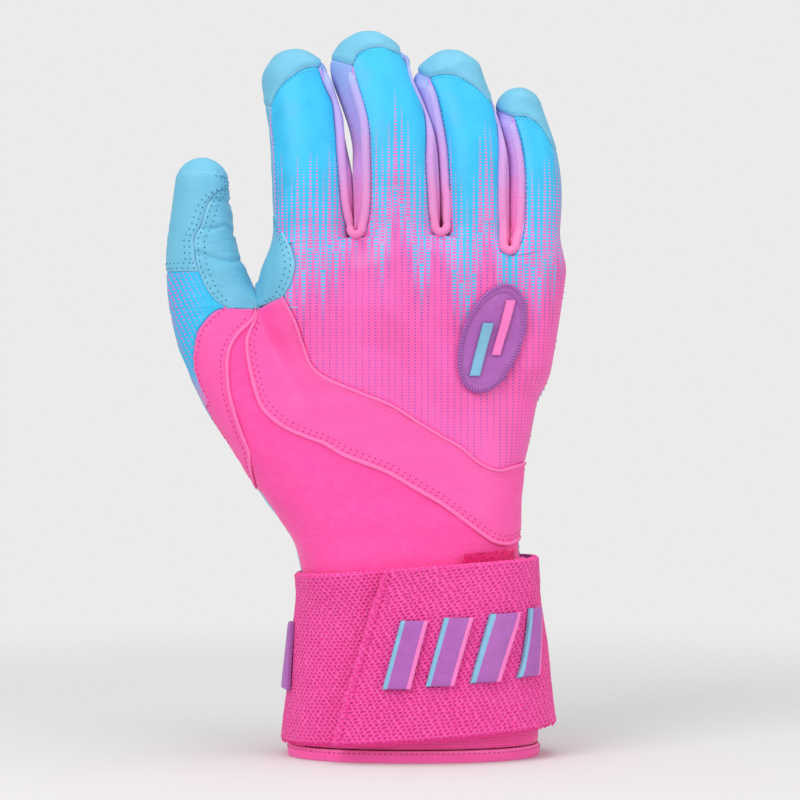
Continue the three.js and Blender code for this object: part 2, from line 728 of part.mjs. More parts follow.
// The cuff tube with its thick bottom hem.
function addCuff() {
  const around = evenSteps(0, 1, 36).slice(0, -1);
  const hem = ringRays(around, evenSteps(0, hemHeight, 2));
  addPiece('cuff_hem', shellGeometry(handValue, hem, hemRise - hemWall, hemRise, true), colours.pink);
  const tube = ringRays(around, evenSteps(hemHeight + seamGap, cuffTop - seamGap, 5));
  addPiece('cuff_sleeve', shellGeometry(handValue, tube, -knitWall, 0, true), colours.pink, 0.8);
}

const fastenerLayer = layerGap + strapWall + layerGap;
const flapLayer = fastenerLayer + fastenerWall + layerGap;

// The strap: one and a quarter turns of elastic. Its first turn is sewn to the cuff, and the
// rest is the flap that peels away from the little-finger side.
function addStrap() {
  const steps = 40;
  const heights = evenSteps(strapBottom, strapTop, 4);
  const turns = evenSteps(
    turnShare(hingeDegrees - strapLapDegrees), turnShare(hingeDegrees + hingeGapDegrees) - 1, steps,
  );
  const [from, to] = climbShares;
  const under = (i, j) => layerGap
    + THREE.MathUtils.smoothstep(j / steps, from, to) * (flapLayer - layerGap);
  addPiece('strap_band', shellGeometry(
    handValue, ringRays(turns, heights, true), under, (i, j) => under(i, j) + strapWall,
  ), colours.elastic, 0.8);
}

// The peeling flap, its hook pad, the loop patch that it grips, and the raised bars on it.
const flapEndShares = [-0.27, -0.113];

function flapEnd(z) {
  const f = (z - strapBottom) / strapWidth;
  return (flapEndShares[0] + (flapEndShares[1] - flapEndShares[0]) * f) * knuckleWidth;
}

// Rays over a patch of the wrist's back. from and to are distances from the hand's centre along
// the skin, as functions of the height.
function patchRays(from, to, columns, heights) {
  return heights.map((height) => evenSteps(0, 1, columns).map((u) => {
    const z = height + tiltRise(from(height) + (to(height) - from(height)) * u, height);
    return handRay(alongSkin(from(z) + (to(z) - from(z)) * u, z), z, 'back');
  }));
}

function addFlap() {
  const heights = evenSteps(strapBottom, strapTop, 4);
  const hinge = (z) => middleLine(z).right + THREE.MathUtils.degToRad(hingeDegrees) * cornerRadius;
  addPiece('strap_flap', shellGeometry(
    handValue, patchRays(flapEnd, hinge, 22, heights), flapLayer, flapLayer + strapWall,
  ), colours.elastic, 0.8);

  const margin = fastenerMargin;
  const padHeights = evenSteps(strapBottom + margin, strapTop - margin, 3);
  addPiece('hook_pad', shellGeometry(
    handValue,
    patchRays((z) => flapEnd(z) + margin, (z) => flapEnd(z) + margin + hookWidth, 6, padHeights),
    fastenerLayer, fastenerLayer + fastenerWall,
  ), colours.elastic, 0.9);

  const loopHeights = evenSteps(strapBottom + margin, strapTop + loopPeek, 3);
  const loopStart = (z) => flapEnd(z) + hookWidth + 2 * margin;
  const loopEnd = (z) => middleLine(z).right + 2 * loopPeek;
  addPiece('loop_patch', shellGeometry(
    handValue, patchRays(loopStart, loopEnd, 6, loopHeights),
    fastenerLayer, fastenerLayer + fastenerWall,
  ), colours.knit, 0.95);
}

// A slanted bar standing on the skin at an offset; its centre is x across and z up.
function barRays(x, z, width, height, lean) {
  return evenSteps(-height / 2, height / 2, 4).map((rise) => evenSteps(-width / 2, width / 2, 4)
    .map((across) => handRay(alongSkin(x + across + Math.tan(lean) * rise, z + rise), z + rise, 'back')));
}

function addBars() {
  const rise = flapLayer + strapWall + layerGap;
  const level = strapBottom + strapWidth / 2;
  for (let k = 0; k < barCount; k += 1) {
    const x = flapEnd(level) + barMargin + barWidth / 2 + k * barPitch;
    const rays = barRays(x, level + tiltRise(x, level), barWidth, barHeight, barLean);
    addPiece(`flap_bar_${k + 1}`, shellGeometry(handValue, rays, rise, rise + trimWall), colours.purple, 0.4);
  }
  const side = layerGap + strapWall + layerGap;
  const sideLevel = level + tiltRise(sideX(level, -1, 0), level);
  const rays = barRays(sideX(sideLevel, -1, sideBarDegrees), sideLevel, sideBarWidth, barHeight, 0);
  addPiece('side_bar', shellGeometry(handValue, rays, side, side + trimWall), colours.purple, 0.4);
}

// The moulded crest: a rounded leaning plate with two raised bars.
function addCrest() {
  const cx = crestShares[0] * knuckleWidth;
  const cz = wristTop + crestShares[1] * seamRange;
  const plate = evenSteps(-1, 1, 6).map((b) => evenSteps(-1, 1, 6).map((a) => {
    const across = a * Math.sqrt(1 - b * b / 2) * crestWidth / 2;
    const rise = b * Math.sqrt(1 - a * a / 2) * crestHeight / 2;
    return handRay(cx + across + Math.tan(barLean) * rise, cz + rise, 'back');
  }));
  const seat = layerGap + seamGap;
  addPiece('crest_plate', shellGeometry(handValue, plate, seat, seat + trimWall), colours.purple, 0.4);
  const top = seat + trimWall + layerGap;
  const bars = { crest_bar_left: [-1, colours.sky], crest_bar_right: [1, colours.blush] };
  for (const [name, [side, colour]] of Object.entries(bars)) {
    const x = cx + side * crestBarPitch / 2;
    const rays = barRays(x, cz + side * crestBarWidth, crestBarWidth, crestHeight / 2, barLean);
    addPiece(name, shellGeometry(handValue, rays, top, top + trimWall / 2), colour, 0.4);
  }
}

// A ray of a limb: degrees round the axis from the back, and s along it, which is zero at the
// tip's centre, counts down in height below it and curls over the round tip above it.
function limbRay(limb, degrees, s) {
  const turn = THREE.MathUtils.degToRad(degrees);
  const [endX, endZ, endY, endWidth] = limb.end;
  if (s <= 0) {
    const [x, , y] = rowAt(limb.axis, 1, endZ + s);
    return {
      origin: new THREE.Vector3(x, y, endZ + s),
      direction: new THREE.Vector3(Math.sin(turn), -Math.cos(turn), 0),
    };
  }
  const tilt = Math.min(s / endWidth, Math.PI / 2);
  const flat = tilt > Math.PI / 2 - 0.001 ? 0 : Math.cos(tilt);
  return {
    origin: new THREE.Vector3(endX, endY, endZ),
    direction: new THREE.Vector3(Math.sin(turn) * flat, -Math.cos(turn) * flat, Math.sin(tilt)),
  };
}

// The value at a place along a row of evenly spread values.
function spreadAt(values, share) {
  const at = THREE.MathUtils.clamp(share, 0, 1) * (values.length - 1);
  const i = Math.min(Math.floor(at), values.length - 2);
  return values[i] + (values[i + 1] - values[i]) * (at - i);
}

// The degrees that a length spans on a limb.
function gapDegrees(limb, length) {
  return THREE.MathUtils.radToDeg(length / Math.min(...limb.axis.map((row) => row[4])));
}

function sectorRays(limb, degrees, low, high, rows) {
  return evenSteps(0, 1, rows).map((v) => degrees.map(
    (turn) => limbRay(limb, turn, low(turn) + (high(turn) - low(turn)) * v),
  ));
}

function addFinger(name) {
  const limb = limbs[name];
  const value = fingerValue(name);
  const [, endZ, , endWidth] = limb.end;
  const { back, palm, seamShares } = fingerPanels[name];
  const gap = gapDegrees(limb, seamGap) / 2;
  const foot = fingerRootHeight + seamGap - endZ;
  const seam = (turn) => {
    if (turn >= back[0] && turn <= back[1]) {
      return endWidth * spreadAt(seamShares, (turn - back[0]) / (back[1] - back[0]));
    }
    const [edge, far, end] = turn < back[0]
      ? [back[0], palm[0], seamShares[0]] : [back[1], palm[1], seamShares[seamShares.length - 1]];
    return endWidth * (end - sideReachShare * Math.min((turn - edge) / (far - edge), 1));
  };
  const below = (turn) => seam(turn) - 2 * seamGap;
  const footing = () => foot;

  addPiece(`${name}_back`, shellGeometry(
    value, sectorRays(limb, evenSteps(back[0] + gap, back[1] - gap, 6), footing, below, 8), -panelWall, 0,
  ), colours.cyan, 0.45);
  const walls = {
    [`${name}_wall_thumb_side`]: [palm[0] + 3 * gap, back[0] - gap],
    [`${name}_wall_little_side`]: [back[1] + gap, palm[1] - 3 * gap],
  };
  for (const [wall, [from, to]] of Object.entries(walls)) {
    if (to - from > wallLeastDegrees) {
      const lower = (turn) => below(turn) - seamGap;
      addPiece(wall, shellGeometry(
        value, sectorRays(limb, evenSteps(from, to, 3), footing, lower, 7), -panelWall, 0,
      ), colours.lilac, 0.8);
    }
  }

  // The leather: palm side and tip in one, its edge stepping up to the seam beside the palm.
  const palmTurns = evenSteps(palm[1] + 3 * gap, palm[0] + 360 - 3 * gap, 6);
  const wrapTurns = [
    ...evenSteps(palm[0] + gap, back[0], 3), ...evenSteps(back[0], back[1], 6).slice(1),
    ...evenSteps(back[1], palm[1] - gap, 3).slice(1),
  ];
  const palmTops = evenSteps(seam(palm[1]), seam(palm[0]), 6);
  const starts = [...wrapTurns.map(seam), ...palmTops];
  const turns = [...wrapTurns, ...palmTurns];
  const pole = endWidth * Math.PI / 2;
  const skirtRows = 4;
  const skirt = evenSteps(0, 1, skirtRows).slice(0, -1).map((v) => turns.map(
    (turn, j) => limbRay(limb, turn, j < wrapTurns.length ? starts[j] : foot + (starts[j] - foot) * v),
  ));
  const cap = evenSteps(0, 1, 6).map((v) => turns.map(
    (turn, j) => limbRay(limb, turn, pole + (starts[j] - pole) * (1 - v) * (1 - v)),
  ));
  const open = (i, j) => i < skirtRows && (j < wrapTurns.length || j === turns.length - 1);
  addPiece(
    `${name}_leather`, shellGeometry(value, [...skirt, ...cap], -leatherWall, 0, true, open), colours.sky,
  );
}

function addThumb() {
  const limb = limbs.thumb;
  const [, endZ, , endWidth] = limb.end;
  const foot = thumbRootHeight + seamGap - endZ;
  const gap = gapDegrees(limb, seamGap) / 2;
  const edgeTurns = thumbEdgeShares.map(([turn]) => turn);
  const edgeS = thumbEdgeShares.map(([, share]) => share * gloveLength - endZ);
  const edge = (turn) => {
    const at = THREE.MathUtils.clamp(turn, edgeTurns[0], edgeTurns[edgeTurns.length - 1]);
    const i = Math.max(edgeTurns.findIndex((value) => value >= at), 1);
    const f = (at - edgeTurns[i - 1]) / (edgeTurns[i] - edgeTurns[i - 1]);
    return edgeS[i - 1] + (edgeS[i] - edgeS[i - 1]) * f;
  };
  const [first, hemEnd] = edgeTurns;
  const last = edgeTurns[edgeTurns.length - 1];
  const footing = () => foot;
  const below = (turn) => edge(turn) - seamGap;

  addPiece('thumb_print_top', shellGeometry(
    thumbValue, sectorRays(limb, evenSteps(first + gap, hemEnd - gap, 8), footing, below, 3), -panelWall, 0,
  ), colours.cyan);
  const innerTurns = [...evenSteps(edgeTurns[2] + gap, 90, 6), ...evenSteps(90, last - gap, 7).slice(1)];
  addPiece('thumb_inner_leather', shellGeometry(
    thumbValue, sectorRays(limb, innerTurns, footing, below, 8), -leatherWall, 0,
  ), colours.sky);

  const pole = endWidth * Math.PI / 2;
  const turns = [
    ...evenSteps(first, hemEnd, 8), ...evenSteps(edgeTurns[2], 90, 6), ...evenSteps(90, last, 7).slice(1),
  ];
  const rows = evenSteps(0, 1, 7).map((v) => {
    const rest = (1 - v) ** 1.5;
    return turns.map((turn) => limbRay(limb, turn, pole + (edge(turn) - pole) * rest));
  });
  addPiece('thumb_back_leather', shellGeometry(thumbValue, rows, -leatherWall, 0, true), colours.sky);
}

for (const add of [
  addWristBand, addWristKnit, addThumbSaddle, addPipings, addBackPanel, addPalm, addCuff, addStrap,
  addFlap, addBars, addCrest, addThumb,
]) add();
fingerNames.forEach(addFinger);

// The origin lies under the middle of the whole glove, level with the rim that it stands on.
const bounds = new THREE.Box3().setFromObject(group);
const centre = bounds.getCenter(new THREE.Vector3());
group.position.set(-centre.x, -centre.y, -bounds.min.z);

export default group;
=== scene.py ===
# The looks of a right-hand batting glove that stands on its cuff, in metres.
# +Z runs from the cuff to the fingertips, the back of the hand faces -Y and the thumb points to -X.
# The glove's skin is one smooth form: a flattened palm tube joined to five tapering limbs. Every
# panel is a fine shell laid on that skin, with rolled edges, wrinkles, ridges and stitches.
import math
import bpy
import numpy as np
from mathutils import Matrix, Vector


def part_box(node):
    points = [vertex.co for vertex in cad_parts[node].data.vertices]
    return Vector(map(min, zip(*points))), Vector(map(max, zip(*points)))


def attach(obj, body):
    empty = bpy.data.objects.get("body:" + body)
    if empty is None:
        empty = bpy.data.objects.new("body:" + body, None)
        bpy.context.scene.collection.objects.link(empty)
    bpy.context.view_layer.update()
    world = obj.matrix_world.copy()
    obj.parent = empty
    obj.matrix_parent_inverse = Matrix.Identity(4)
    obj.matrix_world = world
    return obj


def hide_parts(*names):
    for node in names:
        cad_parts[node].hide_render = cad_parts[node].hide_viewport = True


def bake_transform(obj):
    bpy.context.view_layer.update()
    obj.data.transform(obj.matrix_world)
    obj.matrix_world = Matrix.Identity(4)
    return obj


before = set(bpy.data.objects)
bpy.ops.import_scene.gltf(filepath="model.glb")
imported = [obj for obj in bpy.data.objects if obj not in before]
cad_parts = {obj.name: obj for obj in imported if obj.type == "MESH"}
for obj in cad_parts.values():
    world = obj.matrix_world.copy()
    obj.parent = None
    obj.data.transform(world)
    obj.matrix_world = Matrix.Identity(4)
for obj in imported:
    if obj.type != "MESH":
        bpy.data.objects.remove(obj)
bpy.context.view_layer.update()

mm = 0.001

# Driving sizes of the form, the same as the solids have
GLOVE_LENGTH = 240 * mm
KNUCKLE_WIDTH = 97 * mm
HAND_DEPTH = 31 * mm
FINGER_BLEND = 9 * mm
THUMB_BLEND = 8 * mm
PALM_TOP_ROUND = 9 * mm
EDGE_INSET = 8 * mm
CORNER_RADIUS = 24 * mm
FINGER_ROOT = 0.7125 * GLOVE_LENGTH
PALM_TOP = 0.694 * GLOVE_LENGTH
THUMB_ROOT = 148 * mm
WEB_REACH = 12 * mm
PALM_ROUNDNESS = 2.35
LIMB_ROUNDNESS = 2.2

# Walls, layers and trims
LEATHER_WALL = 1.1 * mm
PANEL_WALL = 1.2 * mm
KNIT_WALL = 1.4 * mm
SLIT_GAP = 0.15 * mm
HEM_HEIGHT = 4 * mm
HEM_RISE = 0.5 * mm
HEM_WALL = 2.4 * mm
STRAP_WIDTH = 55.5 * mm
STRAP_WALL = 2.1 * mm
FASTENER_WALL = 0.9 * mm
LAYER_GAP = 0.4 * mm
STRAP_TILT = math.radians(4)
STRAP_BOTTOM = HEM_HEIGHT + 0.36 * mm + math.tan(STRAP_TILT) * KNUCKLE_WIDTH / 2
STRAP_TOP = STRAP_BOTTOM + STRAP_WIDTH
CUFF_TOP = STRAP_TOP - HEM_HEIGHT
CLIMB_SHARES = (0.75, 0.95)
FASTENER_LAYER = LAYER_GAP + STRAP_WALL + LAYER_GAP
FLAP_LAYER = FASTENER_LAYER + FASTENER_WALL + LAYER_GAP

# The photograph's frame: how its pixels lie on the plane through the middle of the glove
PIXEL = 1 * mm / 3
PIXEL_ZERO = (418, 753)
FRAME_CENTRE = (400, 400)
CAMERA_DISTANCE = 0.9
SKIN_NEARNESS = 18 * mm

# Palm sections from the cuff up: height, centre x, half width, centre y, half depth.
# Heights are shares of GLOVE_LENGTH, the x columns of KNUCKLE_WIDTH, the y columns of HAND_DEPTH.
PALM_SHARES = [
    (0, -0.0155, 0.428, 0, 0.839), (0.05, -0.0155, 0.423, 0, 0.839),
    (0.167, -0.0155, 0.388, 0, 0.79), (0.258, -0.0186, 0.369, 0, 0.742),
    (0.317, -0.033, 0.381, 0, 0.694), (0.383, -0.0536, 0.412, 0.016, 0.645),
    (0.446, -0.0536, 0.443, 0.032, 0.597), (0.55, -0.0412, 0.479, 0.032, 0.548),
    (0.625, -0.031, 0.495, 0.016, 0.516), (0.692, -0.0144, 0.496, 0, 0.494),
    (0.725, -0.0103, 0.493, 0, 0.484),
]

# Limb axes from root to tip: x, height, y, half width, half depth, as the same shares.
LIMB_SHARES = {
    "index": [
        (-0.359, 0.625, -0.032, 0.128, 0.435), (-0.366, 0.783, 0, 0.134, 0.387),
        (-0.3835, 0.858, 0.081, 0.128, 0.361), (-0.424, 0.935, 0.226, 0.1155, 0.323),
    ],
    "middle": [
        (-0.066, 0.625, -0.065, 0.136, 0.468), (-0.0745, 0.792, -0.032, 0.14, 0.413),
        (-0.0985, 0.875, 0.048, 0.14, 0.387), (-0.1735, 0.9535, 0.21, 0.13, 0.342),
    ],
    "ring": [
        (0.198, 0.625, -0.032, 0.114, 0.445), (0.193, 0.783, 0, 0.1125, 0.387),
        (0.173, 0.858, 0.081, 0.1135, 0.368), (0.111, 0.931, 0.226, 0.1215, 0.329),
    ],
    "little": [
        (0.355, 0.54, 0, 0.062, 0.35), (0.388, 0.66, 0, 0.078, 0.38),
        (0.404, 0.76, 0.032, 0.09, 0.329), (0.398, 0.825, 0.113, 0.084, 0.316),
        (0.35, 0.895, 0.242, 0.0805, 0.29),
    ],
    "thumb": [
        (-0.227, 0.258, 0, 0.124, 0.548), (-0.309, 0.333, 0.032, 0.129, 0.532),
        (-0.4124, 0.383, 0.065, 0.134, 0.516), (-0.5155, 0.446, 0.081, 0.137, 0.5),
        (-0.6186, 0.5125, 0.097, 0.139, 0.468), (-0.6856, 0.575, 0.113, 0.14, 0.435),
        (-0.725, 0.633, 0.129, 0.136, 0.406), (-0.744, 0.692, 0.129, 0.1215, 0.371),
        (-0.746, 0.75, 0.113, 0.103, 0.323), (-0.744, 0.79, 0.097, 0.0905, 0.29),
    ],
}
FINGERS = ["index", "middle", "ring", "little"]

# Seams on the back of the hand, as pixels of the photograph
UPPER_RIDGE_PIXELS = [
    (282, 296), (295, 322), (304, 349), (311, 366), (327, 379), (360, 393), (392, 406), (419, 423),
    (442, 437), (461, 448), (477, 462), (490, 469), (501, 471), (513, 468), (530, 463),
]
LOWER_RIDGE_PIXELS = [
    (256, 307.3), (254, 317), (248, 330), (245, 342), (247, 360), (251, 378), (255, 392),
    (260, 405), (269, 416), (285, 428), (306, 437), (325, 444), (346, 456), (385, 471),
    (413, 487), (442, 504), (465, 521), (482, 534), (494, 542), (509, 545), (524, 538),
]
SADDLE_RIDGE_PIXELS = [
    (253.5, 307.3), (252, 315), (246, 323), (237, 332), (229, 345), (226, 359), (226, 373),
    (228, 392), (233, 411), (240, 432), (249, 454),
]
PRINT_SEAM_PIXELS = [
    (221, 307.2), (212, 311), (203, 320), (195, 331), (191, 348), (190, 364), (195, 383),
    (206, 407),
]
ROOT_PIXELS = [(289, 243), (322, 240), (355.9, 237.8), (398, 236), (441.3, 235.7), (476, 243),
               (510.2, 254.8), (534, 252), (551, 249)]
GUSSET_SEAM_PIXELS = [(282, 296), (291, 280), (294, 262), (289, 243)]


def photo(points):
    """Pixels as (x, z) places on the skin, which is nearer to the camera than the middle plane."""
    pixels = np.array(points, float)
    centre = np.array(FRAME_CENTRE, float)
    pixels = centre + (pixels - centre) * (1 - SKIN_NEARNESS / CAMERA_DISTANCE)
    return np.stack([pixels[:, 0] - PIXEL_ZERO[0], PIXEL_ZERO[1] - pixels[:, 1]], 1) * PIXEL


def curve(points, count):
    """A smooth curve through the rows of a table, at even steps of its parameter."""
    rows = np.array(points, float)
    padded = np.vstack([2 * rows[0] - rows[1], rows, 2 * rows[-1] - rows[-2]])
    at = np.linspace(0, len(rows) - 1, count + 1)
    i = np.minimum(at.astype(int), len(rows) - 2)
    f = (at - i)[:, None]
    a, b, c, d = (padded[i + k] for k in range(4))
    return 0.5 * (2 * b + (c - a) * f + (2 * a - 5 * b + 4 * c - d) * f**2
                  + (3 * b - a - 3 * c + d) * f**3)


def lengths(line):
    """How far along a line of points each of them is."""
    steps = np.linalg.norm(np.diff(line, axis=0), axis=1)
    return np.concatenate([[0], np.cumsum(steps)])


def resample(line, shares):
    """Points at shares of a line's length."""
    along = lengths(line)
    return np.stack([np.interp(np.array(shares) * along[-1], along, line[:, k])
                     for k in range(line.shape[1])], 1)


def stations(length, coarse=0.9 * mm, fine=0.28 * mm, zone=1.6 * mm):
    """Shares of a length, close together near both ends, where a panel's edge rolls down."""
    if length < 3 * zone:
        return np.linspace(0, 1, max(int(length / fine / 1.5), 4) + 1)
    ends = np.linspace(0, zone, int(round(zone / fine)) + 1)
    middle = np.linspace(zone, length - zone, max(int((length - 2 * zone) / coarse), 2) + 1)
    return np.concatenate([ends[:-1], middle, length - ends[-2::-1]]) / length


def smoothstep(value, low, high):
    f = np.clip((value - low) / (high - low), 0, 1)
    return f * f * (3 - 2 * f)


def ripple(points, wavelength, seed, stretch=(1, 1, 1)):
    """Smooth noise between about -1 and 1: a sum of plane waves in random directions."""
    random = np.random.default_rng(seed)
    total = np.zeros(points.shape[:-1])
    scaled = points / np.array(stretch)
    for _ in range(14):
        direction = random.normal(size=3)
        direction /= np.linalg.norm(direction)
        size = wavelength * random.uniform(0.7, 1.5)
        total += np.sin(scaled @ direction * (2 * math.pi / size) + random.uniform(0, 2 * math.pi))
    return total / 5


PALM = curve(np.array(PALM_SHARES)
             * [GLOVE_LENGTH, KNUCKLE_WIDTH, KNUCKLE_WIDTH, HAND_DEPTH, HAND_DEPTH], 80)
LIMBS = {
    name: curve(np.array(rows)
                * [KNUCKLE_WIDTH, GLOVE_LENGTH, HAND_DEPTH, KNUCKLE_WIDTH, HAND_DEPTH], 32)
    for name, rows in LIMB_SHARES.items()
}


def palm_row(z):
    """Centre x, half width, centre y and half depth of the palm at heights."""
    return tuple(np.interp(z, PALM[:, 0], PALM[:, k]) for k in range(1, 5))


def limb_row(limb, z):
    """x, y, half width and half depth of a limb at heights."""
    return tuple(np.interp(z, limb[:, 1], limb[:, k]) for k in (0, 2, 3, 4))


def smooth_min(a, b, k):
    h = np.maximum(k - np.abs(a - b), 0) / k
    return np.minimum(a, b) - h * h * k / 4


def palm_value(p):
    """Below zero inside the palm tube, above zero outside, close to metres."""
    cx, w, cy, d = palm_row(p[:, 2])
    r = PALM_ROUNDNESS
    radius = (np.abs((p[:, 0] - cx) / w) ** r + np.abs((p[:, 1] - cy) / d) ** r) ** (1 / r)
    return -smooth_min(-(radius - 1) * d, PALM_TOP - p[:, 2], PALM_TOP_ROUND)


def limb_value(limb, p):
    """The same for a limb: the least over the short pieces of its axis."""
    value = np.full(len(p), GLOVE_LENGTH)
    reach = limb[:, 3].max() + FINGER_BLEND
    near = np.nonzero((p[:, 0] > limb[:, 0].min() - reach) & (p[:, 0] < limb[:, 0].max() + reach)
                      & (p[:, 2] > limb[0, 1] - reach))[0]
    start, step = limb[:-1], np.diff(limb, axis=0)
    square = step[:, 0] ** 2 + step[:, 1] ** 2
    for first in range(0, len(near), 20000):
        rows = near[first:first + 20000]
        x, y, z = (p[rows, k][:, None] for k in range(3))
        f = np.clip(((x - start[:, 0]) * step[:, 0] + (z - start[:, 1]) * step[:, 1]) / square, 0, 1)
        across = np.hypot(x - start[:, 0] - f * step[:, 0], z - start[:, 1] - f * step[:, 1])
        w = start[:, 3] + f * step[:, 3]
        d = start[:, 4] + f * step[:, 4]
        deep = np.abs(y - start[:, 2] - f * step[:, 2])
        r = LIMB_ROUNDNESS
        radius = ((across / w) ** r + (deep / d) ** r) ** (1 / r)
        value[rows] = ((radius - 1) * np.minimum(w, d)).min(1)
    return value


def slit_at(left, right, z):
    """The middle of the slit between two neighbouring fingers."""
    a, b = limb_row(left, z), limb_row(right, z)
    return (a[0] + a[2] + b[0] - b[2]) / 2


def web_slit(z):
    thumb, palm = limb_row(LIMBS["thumb"], z), palm_row(np.minimum(z, FINGER_ROOT))
    return (thumb[0] + thumb[2] + palm[0] - palm[1]) / 2


def hand_form(p):
    value = palm_value(p)
    for name in FINGERS:
        value = smooth_min(value, limb_value(LIMBS[name], p), FINGER_BLEND)
    value = smooth_min(value, limb_value(LIMBS["thumb"], p), THUMB_BLEND)
    cut = np.maximum(value, web_slit(p[:, 2]) + SLIT_GAP - p[:, 0])
    return np.where(p[:, 2] > THUMB_ROOT, cut, value)


def thumb_form(p):
    value = smooth_min(palm_value(p), limb_value(LIMBS["thumb"], p), THUMB_BLEND)
    return np.maximum(value, p[:, 0] - web_slit(p[:, 2]) + SLIT_GAP)


def finger_form(name):
    at = FINGERS.index(name)

    def form(p):
        value = smooth_min(palm_value(p), limb_value(LIMBS[name], p), FINGER_BLEND)
        if at > 0:
            slit = slit_at(LIMBS[FINGERS[at - 1]], LIMBS[name], p[:, 2])
            value = np.maximum(value, slit + SLIT_GAP - p[:, 0])
        if at < 3:
            slit = slit_at(LIMBS[name], LIMBS[FINGERS[at + 1]], p[:, 2])
            value = np.maximum(value, p[:, 0] - slit + SLIT_GAP)
        return value
    return form


def skin_points(form, origins, directions):
    """Where rays that start inside the form leave it; arrays of any shape that end in 3."""
    shape = origins.shape
    o, d = origins.reshape(-1, 3), directions.reshape(-1, 3)
    step = HAND_DEPTH / 12
    far = np.full(len(o), step)
    active = np.arange(len(o))
    while active.size:
        inside = form(o[active] + d[active] * far[active, None]) < 0
        active = active[inside]
        far[active] += step
        active = active[far[active] < GLOVE_LENGTH / 2]
    near = far - step
    for _ in range(13):
        middle = (near + far) / 2
        inside = form(o + d * middle[:, None]) < 0
        near = np.where(inside, middle, near)
        far = np.where(inside, far, middle)
    return (o + d * ((near + far) / 2)[:, None]).reshape(shape)


def form_normals(form, points):
    """Unit normals of the form at points of its skin."""
    flat = points.reshape(-1, 3)
    small = 0.4 * mm
    slope = np.stack([form(flat + small * axis) - form(flat - small * axis) for axis in np.eye(3)], 1)
    slope /= np.linalg.norm(slope, axis=1, keepdims=True)
    return slope.reshape(points.shape)


def grid_normals(points, outward):
    """Unit normals of a grid of points, turned to the side of the given directions."""
    along = np.gradient(points, axis=1)
    up = np.gradient(points, axis=0)
    normals = np.cross(along, up)
    size = np.linalg.norm(normals, axis=2, keepdims=True)
    normals = np.where(size > 1e-14, normals / np.maximum(size, 1e-14), outward)
    facing = np.sign((normals * outward).sum(2, keepdims=True))
    return normals * np.where(facing == 0, 1, facing)


def middle_line(z, wide=False):
    """The inner line of the hand from which its rays start: left, right and their y. A wide line
    reaches on into the web above the thumb's root."""
    cx, w, cy, _ = palm_row(z)
    right, palm_left = cx + w - EDGE_INSET, cx - w + EDGE_INSET
    thumb = limb_row(LIMBS["thumb"], z)
    low = (z <= THUMB_ROOT) & (thumb[0] < palm_left)
    if wide:
        reach = np.maximum(palm_left - WEB_REACH, web_slit(z) + 1.2 * mm)
        return np.where(low, thumb[0], reach), right, np.where(low, thumb[1], cy), cy
    return np.where(low, thumb[0], palm_left), right, np.where(low, thumb[1], cy), cy


def hand_rays(x, z, side, wide=False):
    """Rays along Y from the inner line, which fan out beyond its ends. side is -1 for the back."""
    x, z = np.broadcast_arrays(np.asarray(x, float), np.asarray(z, float))
    left, right, left_y, right_y = middle_line(z, wide)
    inside = np.clip(x, left, right)
    f = (inside - left) / (right - left)
    origins = np.stack([inside, left_y + f * (right_y - left_y), z], -1)
    angle = np.abs(x - inside) / EDGE_INSET
    out = np.sin(angle) * np.sign(x - inside)
    directions = np.stack([out, side * np.cos(angle), np.zeros_like(z)], -1)
    return origins, directions


def hand_skin(x, z, side=-1, wide=False):
    """Skin points of the hand at chart places, with the directions of their rays."""
    origins, directions = hand_rays(x, z, side, wide)
    return skin_points(hand_form, origins, directions), directions


def chart_line(line, side=-1, wide=False):
    """A line of (x, z) places as chart coordinates, by turning rays until they land on each x."""
    x, z = line[:, 0], line[:, 1]
    left, right, _, _ = middle_line(z, wide)
    sign = np.where(x < left, -1, 1)
    end = np.where(sign < 0, left, right)
    near, far = np.zeros(len(x)), np.full(len(x), math.pi / 2)
    for _ in range(14):
        angle = (near + far) / 2
        points, _ = hand_skin(end + sign * angle * EDGE_INSET, z, side, wide)
        short = (points[:, 0] - x) * sign < 0
        near, far = np.where(short, angle, near), np.where(short, far, angle)
    turned = end + sign * near * EDGE_INSET
    return np.stack([np.where((x >= left) & (x <= right), x, turned), z], 1)


def side_line(low, high, sign, degrees):
    """A line up the hand's edge, at an angle round from the back."""
    z = np.linspace(low, high, 60)
    left, right, _, _ = middle_line(z)
    end = left if sign < 0 else right
    return np.stack([end + sign * math.radians(degrees) * EDGE_INSET, z], 1)


def filled_grid(lower, upper, left, right):
    """A grid of points that fills four boundary lines: lower and upper run alike, as do the sides."""
    u = (lengths(lower) / lengths(lower)[-1] + lengths(upper) / lengths(upper)[-1])[None, :, None] / 2
    v = (lengths(left) / lengths(left)[-1] + lengths(right) / lengths(right)[-1])[:, None, None] / 2
    grid = lower[None] * (1 - v) + upper[None] * v + left[:, None] * (1 - u) + right[:, None] * u
    grid -= lower[0] * (1 - u) * (1 - v) + lower[-1] * u * (1 - v)
    grid -= upper[0] * (1 - u) * v + upper[-1] * u * v
    return grid


SHIFT = np.array([0.0, 0.0, 0.0])
HEM_LOW, HEM_HIGH = (np.array(corner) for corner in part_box("cuff_hem"))
SHIFT[:2] = (HEM_LOW + HEM_HIGH)[:2] / 2 - np.array([PALM[0, 1], PALM[0, 3]])


